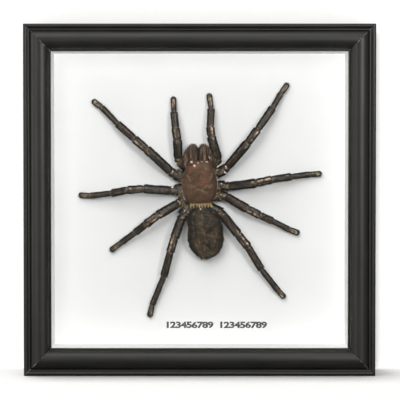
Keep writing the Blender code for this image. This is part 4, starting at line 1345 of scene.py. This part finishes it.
# Folds in the top of it: two ends (x, z), width and depth
CREASES = (
    ((1.3, -23.6), (4.4, -20.6), 0.8, 1.0),
    ((-2.2, -27.5), (2.0, -31.5), 0.7, 0.7),
    ((5.5, -27.0), (3.2, -33.0), 0.7, 0.6),
    ((-5.0, -17.0), (-4.6, -25.0), 0.6, 0.7),
)
ABDOMEN_FRONT = -10.7
ABDOMEN_LENGTH = 25.6
ABDOMEN_RINGS = 84


def crease(x, z, from_spot, to_spot, width):
    """How deep into a fold a spot lies, 0 to 1."""
    start = Vector((*from_spot, 0.0))
    end = Vector((*to_spot, 0.0))
    spot = Vector((x, z, 0.0))
    share = min(1.0, max(0.0, (spot - start).dot(end - start) / (end - start).length_squared))
    return math.exp(-((spot - start.lerp(end, share)).length / width) ** 2)


rings = []
values = []
for number in range(ABDOMEN_RINGS + 1):
    share, middle, half, lowest, highest = between(ABDOMEN, number / ABDOMEN_RINGS)
    z = ABDOMEN_FRONT - share * ABDOMEN_LENGTH
    ring = []
    marks = []
    for i in range(BODY_SIDES):
        turn = 2 * math.pi * (i + 0.5) / BODY_SIDES
        across = math.sin(turn)
        upward = math.cos(turn)
        x = half * math.copysign(abs(across) ** 0.92, across)
        height = (lowest + highest) / 2 + (highest - lowest) / 2 * math.copysign(abs(upward) ** 0.9, upward)
        body = smooth(share, 0.08, 0.2) * (1 - smooth(share, 0.92, 1.0))
        spot = Vector((x * 0.35, height * 0.35, z * 0.35))
        wrinkle = 0.9 * noise.noise(spot * 1.3) + 0.75 * noise.noise(spot * 3.0)
        wrinkle += 0.35 * noise.noise(spot * 7.0)
        ridged = 0.5 - abs(noise.noise(spot * 1.9 + Vector((4.0, 0.0, 0.0)))) * 2.0
        wrinkle += 0.5 * ridged
        folds = min(1.0, sum(depth * crease(x, z, *ends, width) for *ends, width, depth in CREASES))
        drop = (1.0 * wrinkle - 1.5 * folds * (upward > 0)) * body
        point = specimen(middle + x * (1 + 0.055 * wrinkle * body), height + drop * upward, z)
        patch = 1.1 * noise.noise(Vector((x * 0.34, z * 0.34, 9.0)))
        patch += 0.45 * noise.noise(Vector((x, z, 3.0)))
        # Painted highlight and shade: lighter on the ridges and the upper side, darker towards the edges and
        # in the folds. The patches and the warm spot vary the tone, and the rear half is lighter.
        low_light = 0.55 + 0.35 * smooth(share, 0.45, 0.8)
        warm = math.exp(-((x + 2.2) ** 2 + (z + 22.5) ** 2) / 6.0)
        top = 1.0 - smooth(abs(across), 0.5, 0.94) if upward > 0 else 0.0
        tone_and_ridge_highlight = min(1.6, max(0.05, low_light + 0.9 * patch + 0.5 * warm + 0.5 * ridged))
        marks.append({
            "grow": Vector((x * 0.03, -0.2 * upward, -1.0)).normalized(),
            "cover": (0.85 + 0.6 * patch) * (1.0 if share > 0.1 else 0.3),
            "crest": top * tone_and_ridge_highlight * (1 - 0.9 * folds),
            "bare": 0.0,
            "skin": 0.55 * (1 - smooth(share, 0.02, 0.1)),
        })
        ring.append(point)
    rings.append(ring)
    values.append(marks)

# Leathery skin, dark umber; hair from near black in the folds (painted shade) to olive-brown on the humps
# (painted highlight).
abdomen_skin = shell_material("abdomen_skin", "#16110e", "#5b4c3c", "#8f7f70", "#8a6f62", 0.6 * MM)
abdomen_hair = hair_material("abdomen_hair", "#110d0b", "#231c18", "#3a3029", "#887a68", 1.0)
abdomen_bristle = hair_material("abdomen_bristle", "#17110e", "#3a2f27", "#66574a", "#85765f", 0.6)
for material in (abdomen_skin, abdomen_hair):
    wash_over(material, 4.0 * MM, ("#bcc4ae", "#d9d6c8", "#efdccd"))
ABDOMEN_COATS = (
    {
        "Per mm2": 26.0, "Length": 1.05 * MM, "Thickness": 0.13 * MM, "Lean": 0.72, "Stray": 0.34,
        "Curl": 0.0, "Seed": 21, "Joints": 1, "Material": abdomen_hair,
    },
    {
        "Per mm2": 2.2, "Length": 1.9 * MM, "Thickness": 0.11 * MM, "Lean": 0.62, "Stray": 0.4,
        "Curl": 1.2, "Seed": 22, "Joints": 2, "Material": abdomen_bristle,
    },
)
abdomen = ring_shell("hairy_abdomen", rings, values, abdomen_skin)
abdomen = plant_hair("hairy_abdomen", abdomen, ABDOMEN_COATS)
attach(abdomen, "root")
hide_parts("abdomen")

SPINNERET_COATS = (dict(ABDOMEN_COATS[0], **{"Length": 0.6 * MM, "Thickness": 0.09 * MM, "Seed": 25}),)
for side, label in ((-1, "left"), (1, "right")):
    rings = []
    values = []
    for number in range(15):
        share = number / 14
        size = 0.75 * (1.0 - 0.16 * share) * (1.0 - 0.75 * smooth(share, 0.78, 1.0))
        joints = math.exp(-((share - 0.38) / 0.05) ** 2) + math.exp(-((share - 0.72) / 0.05) ** 2)
        pinch = 1.0 - 0.14 * joints
        x = 2.3 + side * (1.0 + 0.25 * share)
        centre = specimen(x, 5.0 - 0.8 * share, ABDOMEN_FRONT - 0.92 * ABDOMEN_LENGTH - 3.0 * share)
        ring = []
        marks = []
        for i in range(16):
            turn = 2 * math.pi * i / 16
            offset = Vector((math.sin(turn), -math.cos(turn), 0.0)) * (size * pinch * MM)
            ring.append(centre + offset)
            # Crest: a painted highlight on the upper side.
            marks.append({
                "grow": Vector((side * 0.15, 0.2, -1.0)).normalized(), "cover": 0.9,
                "crest": max(0.0, math.cos(turn)) * 0.7, "bare": 0.0, "skin": 0.35 * (1 - pinch) / 0.14,
            })
        rings.append(ring)
        values.append(marks)
    spinneret = ring_shell("spinneret_" + label, rings, values, abdomen_skin)
    spinneret = plant_hair("spinneret_" + label, spinneret, SPINNERET_COATS)
    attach(spinneret, "root")


# Chelicerae and fangs ----------------------------------------------------------------------------
# Two stout jaws side by side in front of the head, combed with pale lengthwise hair, each with a
# glossy black fang folded back under it.

CHELICERA = (
    (8.4, 1.5, 5.0, 8.6),
    (10.2, 1.75, 4.2, 9.0),
    (12.0, 1.85, 3.6, 9.1),
    (14.0, 1.9, 3.4, 8.8),
    (16.0, 1.85, 3.4, 8.0),
    (17.4, 1.6, 3.6, 6.8),
    (18.3, 0.9, 4.2, 5.8),
)
CHELICERA_X = {"left": -3.2, "right": 1.85}
CHELICERA_RINGS = 44
CHELICERA_SIDES = 40
jaw_cuticle = shell_material("jaw_cuticle", "#160e0b", "#5f4c40", "#cdbfae", "#a08c78", 0.5 * MM)
jaw_hair = hair_material("jaw_hair", "#17100d", "#43362d", "#75665a", "#b5a594", 1.0)
for material in (jaw_cuticle, jaw_hair):
    wash_over(material, 2.2 * MM, ("#c9c5b2", "#e0d2c8", "#f9cfc4"))
JAW_COATS = (
    {
        "Per mm2": 24.0, "Length": 1.1 * MM, "Thickness": 0.12 * MM, "Lean": 0.85, "Stray": 0.2,
        "Curl": 0.0, "Seed": 31, "Joints": 1, "Material": jaw_hair,
    },
    {
        "Per mm2": 2.0, "Length": 1.8 * MM, "Thickness": 0.1 * MM, "Lean": 0.75, "Stray": 0.35,
        "Curl": 0.8, "Seed": 32, "Joints": 2, "Material": limb_bristle,
    },
)
for label, middle in CHELICERA_X.items():
    rings = []
    values = []
    for number in range(CHELICERA_RINGS + 1):
        z, half, lowest, highest = between(CHELICERA, number / CHELICERA_RINGS)
        ring = []
        marks = []
        for i in range(CHELICERA_SIDES):
            turn = 2 * math.pi * (i + 0.5) / CHELICERA_SIDES
            across = math.sin(turn)
            upward = math.cos(turn)
            wobble = 1.0 + 0.05 * noise.noise(Vector((across * 2, upward * 2, z * 0.8 + middle * 4)))
            flute = noise.noise(Vector((across * 6.0, middle, z * 0.2)))
            x = middle + half * across * wobble
            height = (lowest + highest) / 2 + (highest - lowest) / 2 * upward * wobble
            height += 0.3 * flute * max(0.0, upward)
            ring.append(specimen(x, height, z))
            # Crest: pale lengthwise stripes of hair, kept to the upper side as a painted highlight.
            top = (1.0 - smooth(abs(across), 0.5, 0.92)) if upward > 0 else 0.0
            marks.append({
                "grow": Vector((across * 0.12, -0.05, 1.0)).normalized(),
                "cover": 1.0,
                "crest": top * min(2.0, max(0.05, 0.6 + 3.2 * flute)),
                "bare": 0.0,
                "skin": 0.0,
            })
        rings.append(ring)
        values.append(marks)
    jaw = ring_shell("hairy_chelicera_" + label, rings, values, jaw_cuticle)
    jaw = plant_hair("hairy_chelicera_" + label, jaw, JAW_COATS)
    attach(jaw, "root")
    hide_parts("chelicera_" + label)

# The maxillae: the lobed bases of the palps, which reach forward beside the jaws and end in a brush.
MAXILLA = (
    (7.0, 6.2, 1.5, 3.2, 6.6),
    (9.0, 6.5, 1.8, 3.0, 7.3),
    (11.0, 6.2, 1.8, 2.9, 7.6),
    (13.0, 5.5, 1.7, 2.9, 7.4),
    (15.2, 4.7, 1.45, 3.0, 6.8),
    (17.0, 4.1, 0.7, 3.6, 5.4),
)
MAXILLA_RINGS = 32
MAXILLA_SIDES = 28
MAXILLA_COATS = (
    dict(JAW_COATS[0], **{"Length": 1.3 * MM, "Seed": 35, "Stray": 0.28}),
    dict(JAW_COATS[1], **{"Per mm2": 3.0, "Length": 2.0 * MM, "Seed": 36}),
)
for side, label in ((-1, "left"), (1, "right")):
    rings = []
    values = []
    for number in range(MAXILLA_RINGS + 1):
        z, middle, half, lowest, highest = between(MAXILLA, number / MAXILLA_RINGS)
        ring = []
        marks = []
        for i in range(MAXILLA_SIDES):
            turn = 2 * math.pi * (i + 0.5) / MAXILLA_SIDES
            across = math.sin(turn)
            upward = math.cos(turn)
            wobble = 1.0 + 0.08 * noise.noise(Vector((across * 2, upward * 2, z * 0.9 + side * 5)))
            x = side * middle - 0.3 + half * across * wobble
            height = (lowest + highest) / 2 + (highest - lowest) / 2 * upward * wobble
            ring.append(specimen(x, height, z))
            flute = noise.noise(Vector((across * 4.0, side * 3.0, z * 0.2)))
            stripe = math.exp(-((x + 6.4 + 0.15 * (z - 12)) / 0.3) ** 2)
            stripe *= smooth(z, 9.6, 10.6) * (1 - smooth(z, 13.8, 14.8))
            # Crest: pale lengthwise flutes, kept to the upper side as a painted highlight.
            top = (1.0 - smooth(abs(across), 0.6, 0.97)) if upward > 0 else 0.0
            marks.append({
                "grow": Vector((side * 0.2 + across * 0.15, -0.1, 1.0)).normalized(),
                "cover": 1.0 - 0.85 * stripe * (upward > 0),
                "crest": top * min(1.8, max(0.05, 0.45 + 2.6 * flute)),
                "bare": 1.1 * stripe * (upward > 0),
                "skin": 0.0,
            })
        rings.append(ring)
        values.append(marks)
    maxilla = ring_shell("maxilla_" + label, rings, values, jaw_cuticle)
    maxilla = plant_hair("maxilla_" + label, maxilla, MAXILLA_COATS)
    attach(maxilla, "root")

# The labium and the dark brush of hair between the jaws.
LABIUM = ((8.0, 1.6, 3.0, 5.6), (11.0, 1.5, 3.0, 5.4), (14.0, 1.3, 3.1, 5.2), (16.6, 0.8, 3.4, 4.8))
LABIUM_RINGS = 28
LABIUM_SIDES = 24
brush_hair = hair_material("mouth_brush_hair", "#050303", "#0b0706", "#140e0b", "#241a15", 0.5)
rings = []
values = []
for number in range(LABIUM_RINGS + 1):
    z, half, lowest, highest = between(LABIUM, number / LABIUM_RINGS)
    ring = []
    marks = []
    for i in range(LABIUM_SIDES):
        turn = 2 * math.pi * (i + 0.5) / LABIUM_SIDES
        height = (lowest + highest) / 2 + (highest - lowest) / 2 * math.cos(turn)
        ring.append(specimen(-0.7 + half * math.sin(turn), height, z))
        marks.append({
            "grow": Vector((0.0, -0.3, 1.0)).normalized(),
            "cover": 1.0, "crest": 0.0, "bare": 0.0, "skin": 0.0,
        })
    rings.append(ring)
    values.append(marks)
labium = ring_shell("labium", rings, values, jaw_cuticle)
labium = plant_hair("labium", labium, (dict(JAW_COATS[0], **{"Seed": 38, "Material": brush_hair}),))
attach(labium, "root")

# Dried skin: thin pale slivers at the shield's front edge and by a leg root, the pale plate of the waist,
# and two pale lumps beside the eyes that are painted glints.
SLIVERS = (
    ((0.5, 9.0, 10.4), (4.1, 8.6, 10.1), 0.2),
    ((8.2, 7.6, 7.4), (13.0, 7.0, 10.9), 0.22),
    ((-8.3, 6.6, -3.4), (-7.2, 6.5, -7.6), 0.2),
    ((-7.2, 6.5, -7.6), (-4.9, 6.6, -9.8), 0.18),
    ((8.5, 6.6, 3.0), (8.6, 6.5, 0.2), 0.2),
    ((4.4, 8.2, 12.9), (5.2, 7.8, 11.4), 0.16),
)
SCABS_AND_GLINTS = (
    # The first two lumps, beside the eyes, are painted glints.
    (-3.9, 9.3, 10.1, 0.52),
    (-2.5, 10.1, 8.2, 0.46),
    (-0.7, 9.8, 9.7, 0.3),
    (0.5, 6.9, -12.9, 0.4),
    (-13.1, 5.3, 5.6, 0.5),
    (-13.2, 5.3, -2.3, 0.56),
    (-10.5, 5.3, -8.9, 0.4),
    (-7.3, 5.8, -13.7, 0.42),
    (-10.1, 5.9, -19.4, 0.36),
    (13.0, 5.8, -17.1, 0.4),
    (12.3, 5.6, 5.1, 0.48),
    (12.9, 5.6, 8.0, 0.34),
    (12.2, 5.5, 1.3, 0.4),
    (10.5, 5.5, -0.3, 0.4),
)
skin_and_glint_finish, tree, shader = new_finish("pale_dried_skin_and_glints")
place = add(tree, "ShaderNodeTexCoord").outputs["Object"]
mottle = add(tree, "ShaderNodeTexNoise", {"Vector": place, "Scale": 1300.0, "Detail": 3.0})
two_shades(tree, mottle.outputs["Fac"], "#8f7468", "#ddd0c6", 0.35, 0.6)
shader.inputs["Roughness"].default_value = 0.32
bump = add(tree, "ShaderNodeBump", {"Height": mottle.outputs["Fac"], "Strength": 0.5, "Distance": 0.1 * MM})
tree.links.new(bump.outputs["Normal"], shader.inputs["Normal"])
bm = bmesh.new()
for start, end, radius in SLIVERS:
    root = specimen(*start)
    tip = specimen(*end)
    along = (tip - root).normalized()
    side = along.cross(Vector((0.0, -1.0, 0.0))).normalized()
    up = side.cross(along)
    loops = []
    for number in range(17):
        share = number / 16
        wander = Vector([noise.noise(Vector((share * 3.0, start[0] * 5.0, axis * 7.0))) for axis in range(3)])
        centre = root.lerp(tip, share) + wander * (0.5 * MM * math.sin(math.pi * share))
        size = radius * MM * (0.35 + 0.65 * math.sin(math.pi * share) ** 0.5)
        size *= 1.0 + 0.5 * noise.noise(Vector((share * 9.0, start[2] * 3.0, 0.0)))
        loops.append([
            bm.verts.new(centre + (side * math.cos(t) + up * 0.6 * math.sin(t)) * size)
            for t in (2 * math.pi * i / 8 for i in range(8))
        ])
    for near, far in zip(loops, loops[1:]):
        for i in range(8):
            bm.faces.new((near[i], near[(i + 1) % 8], far[(i + 1) % 8], far[i]))
    bm.faces.new(loops[0])
    bm.faces.new(loops[-1])
for x, height, z, radius in SCABS_AND_GLINTS:
    place = specimen(x, height, z)
    made = bmesh.ops.create_icosphere(bm, subdivisions=3, radius=radius * MM)
    for vert in made["verts"]:
        lumpy = 1.0 + 0.9 * noise.noise(vert.co * 1700.0 + place * 600.0)
        vert.co = place + vert.co * lumpy
bmesh.ops.recalc_face_normals(bm, faces=bm.faces)
for face in bm.faces:
    face.smooth = True
slivers = mesh_piece("dried_skin_slivers", bm)
slivers.data.materials.append(skin_and_glint_finish)
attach(slivers, "root")

# Solid black horn, polished by use, with dull brown patches.
fang_horn, tree, shader = new_finish("black_fang_horn")
place = add(tree, "ShaderNodeTexCoord").outputs["Object"]
ridges = add(tree, "ShaderNodeTexNoise", {"Vector": place, "Scale": 900.0, "Detail": 3.0})
two_shades(tree, ridges.outputs["Fac"], "#0d0a09", "#2b1c15")
shine = add(tree, "ShaderNodeMapRange", {"Value": ridges.outputs["Fac"], "To Min": 0.12, "To Max": 0.32})
tree.links.new(shine.outputs[0], shader.inputs["Roughness"])
dress("fang_left", fang_horn)
dress("fang_right", fang_horn)
